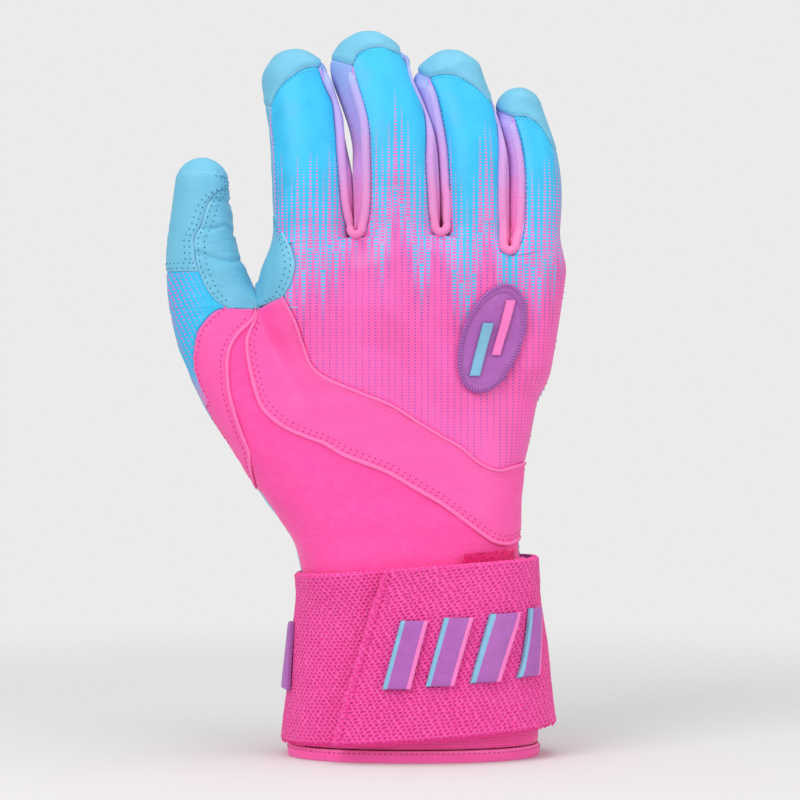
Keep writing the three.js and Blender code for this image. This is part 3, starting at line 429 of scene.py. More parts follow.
def new_object(name, points, faces, flat_faces, attributes):
    """A mesh object from points in the form's frame, with numbers stored on its points."""
    mesh = bpy.data.meshes.new(name)
    corners = [list(face) for face in faces] + [list(face) for face in flat_faces]
    mesh.from_pydata((points + SHIFT).tolist(), [], corners)
    smooth = np.ones(len(corners), bool)
    smooth[len(faces):] = False
    mesh.polygons.foreach_set("use_smooth", smooth)
    for key, values in attributes.items():
        kind = "FLOAT_VECTOR" if values.ndim == 2 else "FLOAT"
        layer = mesh.attributes.new(key, kind, "POINT")
        layer.data.foreach_set("vector" if values.ndim == 2 else "value",
                               values.astype(np.float32).ravel())
    mesh.update()
    obj = bpy.data.objects.new(name, mesh)
    bpy.context.scene.collection.objects.link(obj)
    return obj


def edge_distances(points):
    """How far each point of a grid is from its lower, upper, left and right edges."""
    up = np.linalg.norm(np.diff(points, axis=0), axis=2)
    across = np.linalg.norm(np.diff(points, axis=1), axis=2)
    from_low = np.vstack([np.zeros((1, points.shape[1])), np.cumsum(up, 0)])
    from_left = np.hstack([np.zeros((points.shape[0], 1)), np.cumsum(across, 1)])
    return {"lower": from_low, "upper": from_low[-1] - from_low,
            "left": from_left, "right": from_left[:, -1:] - from_left}


ROLL_WIDTH = 1.3 * mm
ROLL_DEPTH = 0.55 * mm


class Patch:
    """A grid of a shell on the skin: its outer points, normals and distances from its four edges."""

    def __init__(self, skin, outward, wall, base=0.0, rise=0.0, rolled="", detail=None, cloth=None,
                 rows_at=(), roll=ROLL_DEPTH, ring=False):
        self.skin, self.wall = skin, wall
        self.normals = grid_normals(skin, outward)
        if ring:
            joint = self.normals[:, 0] + self.normals[:, -1]
            joint /= np.linalg.norm(joint, axis=1, keepdims=True)
            self.normals[:, 0] = self.normals[:, -1] = joint
        self.distances = edge_distances(skin)
        height = np.full(skin.shape[:2], float(rise)) if np.isscalar(rise) else np.array(rise)
        for key in rolled.split():
            turn = np.clip(1 - self.distances[key] / ROLL_WIDTH, 0, 1)
            height -= (roll + np.maximum(height, 0) * 0.6) * turn**2
        for key, away in rows_at:
            height -= 0.14 * mm * np.exp(-((self.distances[key] - away) / (0.45 * mm)) ** 2)
        if detail is not None:
            height += detail(self)
        height = np.maximum(height, -wall + 0.3 * mm)
        under = np.broadcast_to(base, skin.shape[:2])[..., None]
        self.outer = skin + self.normals * (under + height[..., None])
        self.inner = skin + self.normals * (under - wall)
        self.cloth = self.flat_cloth() if cloth is None else cloth(self)
        keys = rolled.split() or ["lower", "upper", "left", "right"]
        self.edge = np.minimum(np.min([self.distances[key] for key in keys], 0), 12 * mm)

    def flat_cloth(self):
        return np.stack([self.skin[..., 0], self.skin[..., 2], self.skin[..., 1]], -1)

    def along(self, key, away, first=0.0, last=1.0):
        """The line on the outer surface at a distance from an edge, with its normals."""
        distance = self.distances[key]
        lines = []
        for values in (self.outer, self.normals):
            if key in ("lower", "upper"):
                columns = [np.array([np.interp(away, *ordered(distance[:, j], values[:, j, k]))
                                     for k in range(3)]) for j in range(distance.shape[1])]
            else:
                columns = [np.array([np.interp(away, *ordered(distance[i], values[i, :, k]))
                                     for k in range(3)]) for i in range(distance.shape[0])]
            lines.append(np.array(columns))
        share = lengths(lines[0])
        share = share / share[-1]
        kept = (share >= first) & (share <= last)
        return lines[0][kept], lines[1][kept]


def ordered(distance, values):
    order = np.argsort(distance)
    return distance[order], values[order]


PRINT_WRAP = 0.57 * 12 * mm


def print_cloth(patch):
    """Where the print lies: across as along the cloth, so that it doesn't stretch on the sides."""
    turn = patch.normals[..., 0] * (1 + patch.normals[..., 1])
    across = patch.skin[..., 0] + PRINT_WRAP * turn
    return np.stack([across, patch.skin[..., 2], patch.skin[..., 1]], -1)


def shell_object(name, patches):
    """A closed shell from one or more grids that meet in shared edge points."""
    outer = np.vstack([patch.outer.reshape(-1, 3) for patch in patches])
    inner = np.vstack([patch.inner.reshape(-1, 3) for patch in patches])
    cloth = np.vstack([patch.cloth.reshape(-1, 3) for patch in patches])
    skin = np.vstack([patch.skin.reshape(-1, 3) for patch in patches])
    edge = np.concatenate([patch.edge.ravel() for patch in patches])
    _, first, ids = np.unique(np.round(skin / (0.004 * mm)).astype(np.int64), axis=0,
                              return_index=True, return_inverse=True)
    ids = ids.ravel()
    faces = []
    start = 0
    for patch in patches:
        rows, columns = patch.skin.shape[:2]
        index = ids[start:start + rows * columns].reshape(rows, columns)
        start += rows * columns
        quads = np.stack([index[:-1, :-1], index[:-1, 1:], index[1:, 1:], index[1:, :-1]], -1)
        along = patch.skin[:-1, 1:] - patch.skin[:-1, :-1]
        up = patch.skin[1:, :-1] - patch.skin[:-1, :-1]
        turned = (np.cross(along, up) * patch.normals[:-1, :-1]).sum() < 0
        quads = quads.reshape(-1, 4)
        faces.append(quads[:, ::-1] if turned else quads)
    outer_faces = []
    for quad in np.vstack(faces).tolist():
        corners = [c for k, c in enumerate(quad) if c != quad[k - 1]]
        if len(corners) > 2 and len(set(corners)) == len(corners):
            outer_faces.append(corners)
    count = len(first)
    edges = {(a, b) for face in outer_faces for a, b in zip(face, face[1:] + face[:1])}
    rim = [(b, a, a + count, b + count) for a, b in sorted(edges) if (b, a) not in edges]
    inner_faces = [[c + count for c in reversed(face)] for face in outer_faces]
    return new_object(
        name, np.vstack([outer[first], inner[first]]), outer_faces + inner_faces, rim,
        {"cloth": np.vstack([cloth[first], cloth[first]]) / mm,
         "place": np.vstack([skin[first], skin[first]]) / mm,
         "edge": np.concatenate([edge[first], edge[first] * 0]) / mm},
    )


def merged_object(name, groups):
    """One mesh from (points, faces) groups."""
    points, faces, start = [], [], 0
    for group_points, group_faces in groups:
        points.append(group_points)
        faces.append(np.array(group_faces) + start)
        start += len(group_points)
    points = np.vstack(points)
    corners = [face for group in faces for face in group.tolist()]
    return new_object(name, points, corners, (), {"place": points / mm})


def stitch_mesh(line, normals, pitch, length, radius, lift, lean, shift):
    """Capsules set end to end along a line: each arches out of the cloth and dips in at its ends."""
    along = lengths(line)
    count = max(int((along[-1] - length) / pitch), 1)
    at = np.linspace(length / 2, along[-1] - length / 2, count) + shift
    at = np.clip(at, length / 2, along[-1] - length / 2)
    pick = lambda values, where: np.stack([np.interp(where, along, values[:, k])
                                           for k in range(3)], -1)
    centre, normal = pick(line, at), pick(normals, at)
    tangent = pick(line, at + length / 2) - pick(line, at - length / 2)
    tangent /= np.maximum(np.linalg.norm(tangent, axis=1, keepdims=True), 1e-9)
    normal -= tangent * (normal * tangent).sum(1, keepdims=True)
    normal /= np.maximum(np.linalg.norm(normal, axis=1, keepdims=True), 1e-9)
    side = np.cross(tangent, normal)
    tangent, side = (tangent * math.cos(lean) + side * math.sin(lean),
                     side * math.cos(lean) - tangent * math.sin(lean))
    steps = np.array([-0.5, -0.42, -0.2, 0, 0.2, 0.42, 0.5])
    widths = np.array([0.15, 0.7, 1, 1.05, 1, 0.7, 0.15]) * radius
    arch = lift + radius * (1.1 * (1 - (2 * steps) ** 2) - 0.5)
    turns = np.arange(6) * math.pi / 3
    ring = (np.cos(turns)[None, :, None, None] * side[None, None] * widths[:, None, None, None]
            + np.sin(turns)[None, :, None, None] * normal[None, None] * widths[:, None, None, None])
    spine = (centre[None] + tangent[None] * (steps * length)[:, None, None]
             + normal[None] * arch[:, None, None])
    points = (spine[:, None] + ring).transpose(2, 0, 1, 3).reshape(-1, 3)
    rows, sides = len(steps), 6
    quads = [(i * sides + j, i * sides + (j + 1) % sides, (i + 1) * sides + (j + 1) % sides,
              (i + 1) * sides + j) for i in range(rows - 1) for j in range(sides)]
    faces = np.array(quads)[None] + (np.arange(len(at)) * rows * sides)[:, None, None]
    return points, faces.reshape(-1, 4)


def tube_mesh(line, radius, sides=8, normals=None, flat=1.0):
    """A closed tube along a line; radius may change along it and flat squashes it to the cloth."""
    tangent = np.gradient(line, axis=0)
    tangent /= np.maximum(np.linalg.norm(tangent, axis=1, keepdims=True), 1e-12)
    normal = np.cross(tangent, [0.3, 0.5, 0.81]) if normals is None else normals
    normal = normal - tangent * (normal * tangent).sum(1, keepdims=True)
    normal /= np.maximum(np.linalg.norm(normal, axis=1, keepdims=True), 1e-12)
    side = np.cross(tangent, normal)
    turns = np.arange(sides) * 2 * math.pi / sides
    radius = np.broadcast_to(radius, len(line))[:, None, None]
    points = line[:, None] + radius * (np.cos(turns)[None, :, None] * side[:, None]
                                       + flat * np.sin(turns)[None, :, None] * normal[:, None])
    rows = len(line)
    i, j = np.meshgrid(np.arange(rows - 1), np.arange(sides), indexing="ij")
    nxt = (j + 1) % sides
    faces = np.stack([i * sides + j, i * sides + nxt, (i + 1) * sides + nxt, (i + 1) * sides + j], -1)
    faces = faces.reshape(-1, 4)
    return points.reshape(-1, 3), faces


# The camera's view of the form, for placing finger seams by pixels
CAMERA_X = (FRAME_CENTRE[0] - PIXEL_ZERO[0]) * PIXEL
CAMERA_Z = (PIXEL_ZERO[1] - FRAME_CENTRE[1]) * PIXEL


def projected(points):
    """Pixels of points of the form."""
    scale = CAMERA_DISTANCE / (CAMERA_DISTANCE + points[..., 1]) / PIXEL
    return np.stack([FRAME_CENTRE[0] + (points[..., 0] - CAMERA_X) * scale,
                     FRAME_CENTRE[1] - (points[..., 2] - CAMERA_Z) * scale], -1)


class Limb:
    """A limb's chart: degrees round its axis from the back, and s along it, which is zero at the
    tip's centre, counts down in height below it and curls over the round tip above it."""

    def __init__(self, name, form, root):
        self.form = form
        self.axis = LIMBS[name]
        self.end = self.axis[-1]
        self.pole = self.end[3] * math.pi / 2
        self.scale = self.end[3]
        self.foot = root - self.end[1]
        turns = np.arange(-180, 181, 5.0)
        origins, directions = self.rays(turns, np.full(len(turns), self.foot))
        near = skin_points(form, origins, directions)
        whole = skin_points(hand_form, origins, directions)
        extra = np.linalg.norm(whole - origins, axis=1) - np.linalg.norm(near - origins, axis=1)
        self.extra = (turns, np.clip(extra, -2 * mm, 2 * mm))
        self.open_turns = None

    def rays(self, turns, s):
        turns, s = np.broadcast_arrays(np.radians(turns), s)
        low = np.minimum(s, 0) + self.end[1]
        x, y, _, _ = limb_row(self.axis, low)
        tilt = np.clip(s / self.end[3], 0, math.pi / 2)
        flat = np.where(tilt > math.pi / 2 - 0.001, 0, np.cos(tilt))
        origins = np.stack([x, y, low], -1)
        return origins, np.stack([np.sin(turns) * flat, -np.cos(turns) * flat, np.sin(tilt)], -1)

    def skin(self, turns, s):
        """Skin points, eased near the root to meet the skin of the whole hand."""
        turns, s = np.broadcast_arrays(np.asarray(turns, float), np.asarray(s, float))
        origins, directions = self.rays(turns, s)
        points = skin_points(self.form, origins, directions)
        wrapped = (turns + 180) % 360 - 180
        extra = np.interp(wrapped, *self.extra)
        if self.open_turns is not None:
            (left_palm, left_back), (right_back, right_palm) = self.open_turns
            ease = 14.0
            inside = np.minimum(smoothstep(wrapped, left_palm, left_palm + ease),
                                1 - smoothstep(wrapped, left_back - ease, left_back))
            inside = np.maximum(inside, np.minimum(
                smoothstep(wrapped, right_back, right_back + ease),
                1 - smoothstep(wrapped, right_palm - ease, right_palm)))
            extra = extra * (1 - inside)
        fade = 1 - smoothstep(s - self.foot, 0, 8 * mm)
        return points + directions * (extra * fade)[..., None], directions

    def table(self):
        self.turns = np.linspace(-84, 84, 85)
        self.heights = np.linspace(self.foot - 6 * mm, self.pole * 0.97, 90)
        grid, _ = self.skin(self.turns[None], self.heights[:, None])
        self.pixels = projected(grid)

    def find(self, pixels):
        """The chart places, (degrees, s), that the camera sees at pixels."""
        if not hasattr(self, "pixels"):
            self.table()
        found = []
        for pixel in np.array(pixels, float):
            apart = np.linalg.norm(self.pixels - pixel, axis=2)
            i, j = np.unravel_index(apart.argmin(), apart.shape)
            i, j = min(max(i, 1), len(self.heights) - 2), min(max(j, 1), len(self.turns) - 2)
            across = (self.pixels[i, j + 1] - self.pixels[i, j - 1]) / 2
            up = (self.pixels[i + 1, j] - self.pixels[i - 1, j]) / 2
            matrix = np.stack([across, up], 1)
            step = np.linalg.lstsq(matrix + np.eye(2) * 1e-3, pixel - self.pixels[i, j], rcond=None)[0]
            step = np.clip(step, -1.2, 1.2)
            found.append((self.turns[j] + step[0] * (self.turns[1] - self.turns[0]),
                          self.heights[i] + step[1] * (self.heights[1] - self.heights[0])))
        return np.array(found)

    def chart(self, line):
        """(degrees, s) places as lengths on the cloth, and back again with unchart."""
        return np.stack([np.radians(line[:, 0]) * self.scale, line[:, 1]], 1)

    def unchart(self, grid):
        return np.degrees(grid[..., 0] / self.scale), grid[..., 1]

    def unchart_line(self, line):
        return np.stack([np.degrees(line[:, 0] / self.scale), line[:, 1]], 1)

    def root_line(self, start, end):
        """Where the panel meets the hand's, which ends at the root line: (degrees, s) places."""
        ends, _ = self.skin(np.array([start[0], end[0]]), np.array([start[1], end[1]]))
        pixels = photo_root(*projected(ends)[:, 0])
        line = self.find(pixels)
        line[0], line[-1] = start, end
        return line

    def grid(self, lower, upper, left, right, coarse=0.8 * mm):
        """Skin points between four lines of (degrees, s)."""
        lower, upper, left, right = (self.chart(np.array(line, float))
                                     for line in (lower, upper, left, right))
        columns = stations(max(lengths(lower)[-1], lengths(upper)[-1]), coarse)
        rows = stations(max(lengths(left)[-1], lengths(right)[-1]), coarse)
        grid = filled_grid(resample(lower, columns), resample(upper, columns),
                           resample(left, rows), resample(right, rows))
        return self.skin(*self.unchart(grid))


def photo_root(first, last):
    """Pixels of the root line between two columns."""
    line = curve(ROOT_PIXELS, 200)
    x = np.linspace(first, last, 60)
    return np.stack([x, np.interp(x, line[:, 0], line[:, 1])], 1)


def add(obj, body, material, replaces=(), blend=None):
    """Gives a piece its material, hangs it under its body's empty or, when it blends between bodies, bakes
    its transform, and hides the solids that it stands for.
    """
    obj.data.materials.append(material)
    if blend:
        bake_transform(obj)
    else:
        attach(obj, body)
    if replaces:
        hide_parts(*replaces)
    return obj


def hand_patch(lower, upper, left, right, side, wall, coarse=0.9 * mm, wide=False, **options):
    columns = stations(max(lengths(lower)[-1], lengths(upper)[-1]), coarse)
    rows = stations(max(lengths(left)[-1], lengths(right)[-1]), coarse)
    grid = filled_grid(resample(lower, columns), resample(upper, columns),
                       resample(left, rows), resample(right, rows))
    skin, out = hand_skin(grid[..., 0], grid[..., 1], side, wide)
    return Patch(skin, out, wall, **options)


def srgb(red, green, blue):
    """A colour as it shows, from 0 to 255, turned into the linear values that shaders take."""
    linear = [c / 255 / 12.92 if c / 255 <= 0.04045 else ((c / 255 + 0.055) / 1.055) ** 2.4
              for c in (red, green, blue)]
    return (*linear, 1.0)


CYAN = srgb(48, 190, 238)
LEATHER_BLUE = srgb(112, 192, 222)
LEATHER_DEEP = srgb(88, 166, 202)
PRINT_PINK = srgb(255, 98, 182)
PRINT_BLUE = srgb(142, 84, 180)
PANEL_PINK = srgb(255, 92, 176)
KNIT_PINK = srgb(255, 84, 172)
STRAP_PINK = srgb(255, 58, 162)
# Painted shade inside the strap's pinholes
STRAP_HOLE_SHADE = srgb(204, 24, 108)
LOOP_PINK = srgb(250, 34, 128)
PURPLE = srgb(178, 98, 184)
RUBBER_BLUE = srgb(132, 190, 222)
RUBBER_PINK = srgb(255, 128, 202)
LILAC = srgb(226, 170, 240)
NAVY = srgb(28, 58, 110)
TEAL = srgb(28, 92, 120)


class Shader:
    """A material with a Principled surface, built by short calls that return node sockets."""

    def __init__(self, name, roughness, specular, sheen=0.0):
        self.material = bpy.data.materials.new(name)
        self.material.use_nodes = True
        self.tree = self.material.node_tree
        self.surface = self.tree.nodes["Principled BSDF"]
        self.surface.inputs["Roughness"].default_value = roughness
        self.surface.inputs["Specular IOR Level"].default_value = specular
        if sheen:
            self.surface.inputs["Sheen Weight"].default_value = sheen
            self.surface.inputs["Sheen Roughness"].default_value = 0.45
            self.surface.inputs["Sheen Tint"].default_value = (1, 1, 1, 1)

    def put(self, socket, value):
        if isinstance(value, bpy.types.NodeSocket):
            self.tree.links.new(value, socket)
        else:
            socket.default_value = value

    def attribute(self, name, output="Vector"):
        node = self.tree.nodes.new("ShaderNodeAttribute")
        node.attribute_name = name
        return node.outputs[output]

    def split(self, vector):
        node = self.tree.nodes.new("ShaderNodeSeparateXYZ")
        self.put(node.inputs[0], vector)
        return node.outputs["X"], node.outputs["Y"], node.outputs["Z"]

    def join(self, x, y, z=0.0):
        node = self.tree.nodes.new("ShaderNodeCombineXYZ")
        for socket, value in zip(node.inputs, (x, y, z)):
            self.put(socket, value)
        return node.outputs[0]

    def math(self, operation, *values):
        node = self.tree.nodes.new("ShaderNodeMath")
        node.operation = operation
        for socket, value in zip(node.inputs, values):
            self.put(socket, value)
        return node.outputs[0]

    def times(self, a, b):
        return self.math("MULTIPLY", a, b)

    def plus(self, a, b):
        return self.math("ADD", a, b)

    def minus(self, a, b):
        return self.math("SUBTRACT", a, b)

    def over(self, a, b):
        return self.math("DIVIDE", a, b)

    def wave(self, value, period):
        """A sine of a number that repeats after a period."""
        return self.math("SINE", self.times(value, 2 * math.pi / period))

    def centred(self, value):
        """Where a number lies between two whole numbers, from -0.5 to 0.5."""
        return self.minus(self.math("FRACT", value), 0.5)

    def remap(self, value, low, high, to_low=0.0, to_high=1.0, smooth=True):
        node = self.tree.nodes.new("ShaderNodeMapRange")
        node.interpolation_type = "SMOOTHSTEP" if smooth else "LINEAR"
        for key, given in (("Value", value), ("From Min", low), ("From Max", high),
                           ("To Min", to_low), ("To Max", to_high)):
            self.put(node.inputs[key], given)
        return node.outputs[0]

    def mix(self, factor, a, b, blend="MIX"):
        node = self.tree.nodes.new("ShaderNodeMix")
        node.data_type = "RGBA"
        node.blend_type = blend
        self.put(node.inputs["Factor"], factor)
        self.put(node.inputs["A"], a)
        self.put(node.inputs["B"], b)
        return node.outputs["Result"]

    def noise(self, vector, scale, detail, roughness=0.55):
        node = self.tree.nodes.new("ShaderNodeTexNoise")
        self.put(node.inputs["Vector"], vector)
        node.inputs["Scale"].default_value = scale
        node.inputs["Detail"].default_value = detail
        node.inputs["Roughness"].default_value = roughness
        return node.outputs["Fac"]

    def cells(self, vector, scale):
        node = self.tree.nodes.new("ShaderNodeTexVoronoi")
        self.put(node.inputs["Vector"], vector)
        node.inputs["Scale"].default_value = scale
        return node.outputs["Distance"]

    def chance(self, value, seed):
        """One random number for each whole number."""
        node = self.tree.nodes.new("ShaderNodeTexWhiteNoise")
        node.noise_dimensions = "2D"
        self.put(node.inputs["Vector"], self.join(value, seed))
        return node.outputs["Value"]

    def ramp(self, value, stops):
        node = self.tree.nodes.new("ShaderNodeValToRGB")
        self.put(node.inputs[0], value)
        ramp = node.color_ramp
        ramp.interpolation = "EASE"
        while len(ramp.elements) < len(stops):
            ramp.elements.new(0.5)
        for element, (place, colour) in zip(ramp.elements, stops):
            element.position = place
            element.color = colour
        return node.outputs["Color"]

    def curve(self, value, stops):
        """A number read from a ramp of numbers."""
        node = self.tree.nodes.new("ShaderNodeFloatCurve")
        self.put(node.inputs["Value"], value)
        curve_map = node.mapping.curves[0]
        while len(curve_map.points) < len(stops):
            curve_map.points.new(0.5, 0.5)
        for point, (x, y) in zip(curve_map.points, stops):
            point.location = (x, y)
            point.handle_type = "AUTO"
        node.mapping.use_clip = False
        node.mapping.update()
        return node.outputs[0]

    def done(self, colour, height, depth, strength, roughness=None):
        """Ends the material with its colour and a bump, whose depth is in mm."""
        self.put(self.surface.inputs["Base Color"], colour)
        if roughness is not None:
            self.put(self.surface.inputs["Roughness"], roughness)
        node = self.tree.nodes.new("ShaderNodeBump")
        node.inputs["Strength"].default_value = strength
        node.inputs["Distance"].default_value = depth * mm
        self.put(node.inputs["Height"], height)
        self.put(self.surface.inputs["Normal"], node.outputs[0])
        return self.material


def weave_height(shader, u, v):
    """A fine plain weave in numbers from 0 to 1."""
    both = shader.times(shader.wave(u, WEAVE_PITCH), shader.wave(v, WEAVE_PITCH))
    return shader.math("MULTIPLY_ADD", both, 0.5, 0.5)


# Where the print on the back turns from cyan to pink: x in mm and height in mm
TURN_TABLE = [
    (-50, 166), (-41, 160), (-33, 163), (-27, 168), (-20, 184), (-16, 181), (-12, 165), (-8.5, 186),
    (-3, 178), (1, 163), (6.5, 178), (11, 158), (16, 152), (21.5, 176), (26, 168), (30, 150),
    (35, 158), (40, 163), (46, 168), (52, 170),
]
TURN_LOW, TURN_HIGH = 140, 200
TURN_SIDE = 52
COLUMN_JITTER = 6
COLUMN_PITCH = 2.15
DASH_PITCH = 1.04
DOT_ROW, DOT_STEP = 1.75, 1.25
WEAVE_PITCH = 0.42


def printed_material():
    """The printed fabric: cyan above, pink below, and columns of dashes where the two change."""
    shader = Shader("printed_fabric", roughness=0.42, specular=0.45)
    u, v, _ = shader.split(shader.attribute("cloth"))
    place = shader.attribute("place")
    column = shader.over(u, COLUMN_PITCH)
    number = shader.math("FLOOR", column)
    row = shader.over(v, DASH_PITCH)
    across = shader.math("ABSOLUTE", shader.centred(column))
    up = shader.math("ABSOLUTE", shader.centred(row))
    span = TURN_HIGH - TURN_LOW
    middle = shader.times(shader.plus(number, 0.5), COLUMN_PITCH)
    share = shader.over(shader.plus(middle, TURN_SIDE), 2 * TURN_SIDE)
    turn = shader.curve(share, [((x + TURN_SIDE) / (2 * TURN_SIDE), (z - TURN_LOW) / span)
                                for x, z in TURN_TABLE])
    turn = shader.math("MULTIPLY_ADD", turn, span, TURN_LOW)
    jitter = shader.math("MULTIPLY_ADD", shader.chance(number, 3.0), 2 * COLUMN_JITTER, -COLUMN_JITTER)
    turn = shader.plus(turn, jitter)
    below = shader.minus(turn, v)
    early = shader.remap(below, -34, 0, 0.0, 0.5, smooth=False)
    late = shader.remap(below, 0, 30, 0.0, 0.34, smooth=False)
    last = shader.remap(below, 30, 80, 0.0, 0.16, smooth=False)
    pinkness = shader.plus(shader.plus(early, late), last)
    dash = shader.remap(pinkness, 0.0, 0.5, 0.03, 0.44, smooth=False)
    tall = shader.remap(pinkness, 0.02, 0.5, 0.16, 0.36, smooth=False)
    bead = shader.remap(pinkness, 0.5, 0.76, 0.42, 0.12, smooth=False)
    low_bead = shader.remap(pinkness, 0.5, 0.76, 0.36, 0.2, smooth=False)
    def dot(wide, high):
        """A rounded rectangle: above zero inside it, below zero outside."""
        sideways = shader.math("POWER", shader.over(across, shader.math("MAXIMUM", wide, 0.001)), 4.0)
        upwards = shader.math("POWER", shader.over(up, high), 4.0)
        return shader.minus(1.0, shader.math("SQRT", shader.plus(sideways, upwards)))

    pink_dash = shader.remap(dot(dash, tall), -0.18, 0.12)
    blue_dash = shader.remap(dot(bead, low_bead), -0.2, 0.15)
    pink_dash = shader.times(pink_dash, shader.remap(pinkness, 0.0, 0.04))
    blue_dash = shader.times(blue_dash, shader.remap(pinkness, 0.995, 0.95))
    deeper = shader.remap(pinkness, 0.52, 0.72)
    blue = shader.mix(deeper, CYAN, PRINT_BLUE)
    low = shader.math("GREATER_THAN", pinkness, 0.5)
    upper = shader.mix(pink_dash, CYAN, PRINT_PINK)
    lower = shader.mix(blue_dash, PRINT_PINK, blue)
    colour = shader.mix(low, upper, lower)
    soft = shader.noise(place, 0.09, 3)
    shade = shader.remap(soft, 0.3, 0.7, 0.93, 1.06)
    colour = shader.mix(1.0, colour, shader.join(shade, shade, shade), "MULTIPLY")
    height = shader.plus(shader.times(weave_height(shader, u, v), 0.5),
                         shader.times(shader.noise(place, 1.6, 4), 0.5))
    return shader.done(colour, height, depth=0.07, strength=0.35,
                       roughness=shader.remap(soft, 0.3, 0.7, 0.36, 0.5))


def thumb_print_material():
    """Cyan fabric with slanted rows of pink dots that grow towards the outer edge."""
    shader = Shader("thumb_print_fabric", roughness=0.45, specular=0.4)
    x, v, _ = shader.split(shader.attribute("cloth"))
    place = shader.attribute("place")
    slant = math.radians(28)
    a = shader.plus(shader.times(x, math.cos(slant)), shader.times(v, math.sin(slant)))
    b = shader.minus(shader.times(v, math.cos(slant)), shader.times(x, math.sin(slant)))
    row = shader.over(a, DOT_ROW)
    along = shader.plus(shader.over(b, DOT_STEP), shader.times(shader.math("FLOOR", row), 0.5))
    fa = shader.math("ABSOLUTE", shader.centred(row))
    fb = shader.math("ABSOLUTE", shader.centred(along))
    size = shader.remap(x, -66, -86, 0.0, 0.42, smooth=False)
    size = shader.times(size, shader.remap(v, 178, 150, 0.35, 1.0))
    away = shader.math("SQRT",
                       shader.plus(shader.math("POWER", fa, 2.0), shader.math("POWER", fb, 2.0)))
    dot = shader.remap(shader.minus(size, away), -0.05, 0.05)
    low = shader.remap(v, 128, 112)
    dot = shader.times(dot, shader.remap(size, 0.05, 0.1))
    colour = shader.mix(dot, CYAN, srgb(205, 120, 205))
    colour = shader.mix(low, colour, PRINT_PINK)
    height = shader.plus(shader.times(weave_height(shader, x, v), 0.5),
                         shader.times(shader.noise(place, 1.6, 4), 0.5))
    return shader.done(colour, height, depth=0.07, strength=0.35)


def leather_material(name, base, deep, roughness=0.5, grain=1.0):
    """Soft leather: cells of grain, pores, mottled colour and paler worn edges."""
    shader = Shader(name, roughness=roughness, specular=0.4)
    place = shader.attribute("place")
    edge = shader.attribute("edge", "Fac")
    cells = shader.cells(place, 1.5)
    fine = shader.cells(place, 3.1)
    broad = shader.noise(place, 0.16, 4)
    pores = shader.remap(shader.noise(place, 2.6, 3), 0.56, 0.68)
    colour = shader.mix(shader.remap(broad, 0.3, 0.75, 0.0, 0.2), base, deep)
    worn = shader.remap(edge, 1.3, 0.2, 0.0, 0.28)
    colour = shader.mix(worn, colour, srgb(178, 222, 240) if base is LEATHER_BLUE else srgb(255, 160, 210))
    colour = shader.mix(shader.times(pores, 0.16), colour, deep)
    height = shader.plus(shader.times(cells, 0.55), shader.times(fine, 0.3))
    height = shader.minus(height, shader.times(pores, 0.25))
    return shader.done(colour, height, depth=0.12 * grain, strength=0.5,
                       roughness=shader.remap(broad, 0.3, 0.7, roughness - 0.07, roughness + 0.07))


def rib_material(name, painted_highlight, dark):
    """The finger walls: fine rib knit that fades from lavender at the tip to pink at the root, lightened by a
    painted highlight and darkened by painted shade in the grooves between its ribs.
    """
    shader = Shader(name, roughness=0.75, specular=0.2, sheen=0.35)
    u, v, _ = shader.split(shader.attribute("cloth"))
    place = shader.attribute("place")
    wave = shader.wave(v, 0.62)
    cross = shader.wave(u, 0.5)
    rib = shader.math("MULTIPLY_ADD", wave, 0.5, 0.5)
    loops = shader.math("MULTIPLY_ADD", shader.times(cross, wave), 0.25, 0.25)
    height = shader.plus(shader.times(rib, 0.6), loops)
    share = shader.remap(shader.plus(v, shader.remap(shader.noise(place, 0.2, 3), 0, 1, -5, 5)),
                         168, 232, smooth=False)
    colour = shader.ramp(share, [(0.0, srgb(255, 108, 184)), (0.22, srgb(236, 128, 204)),
                                 (0.45, srgb(206, 148, 226)), (0.72, srgb(172, 168, 244)),
                                 (1.0, srgb(136, 186, 250))])
    # Painted highlight: the knit is mixed towards a near-white pink, by more on the rim's copy
    colour = shader.mix(painted_highlight, colour, srgb(255, 206, 236))
    # Painted shade: the grooves between the ribs are drawn darker
    colour = shader.mix(shader.remap(rib, 0.0, 0.6, dark, 0.0), colour, srgb(120, 62, 140))
    return shader.done(colour, height, depth=0.16, strength=0.7)


def knit_material(name, base, deep, pitch=0.72, tilt=-5.0):
    """Stretch knit: near-level ribs crossed by faint wales, with painted shade in the troughs between the
    ribs.
    """
    shader = Shader(name, roughness=0.7, specular=0.2, sheen=0.3)
    u, v, _ = shader.split(shader.attribute("cloth"))
    place = shader.attribute("place")
    lean = math.tan(math.radians(tilt))
    wobble = shader.remap(shader.noise(place, 0.25, 2), 0, 1, -0.35, 0.35)
    level = shader.plus(shader.math("MULTIPLY_ADD", u, -lean, v), wobble)
    wave = shader.wave(level, pitch)
    wale = shader.wave(u, 0.95)
    rib = shader.math("MULTIPLY_ADD", wave, 0.5, 0.5)
    height = shader.plus(shader.times(rib, 0.7), shader.times(wale, 0.12))
    broad = shader.noise(place, 0.3, 4)
    # Painted shade: the knit is drawn towards its deep colour in the troughs between the ribs
    colour = shader.mix(shader.remap(rib, 0.55, 0.0, 0.0, 0.5), base, deep)
    colour = shader.mix(shader.remap(broad, 0.35, 0.8, 0.0, 0.12), colour, srgb(255, 130, 195))
    return shader.done(colour, height, depth=0.14, strength=0.6)


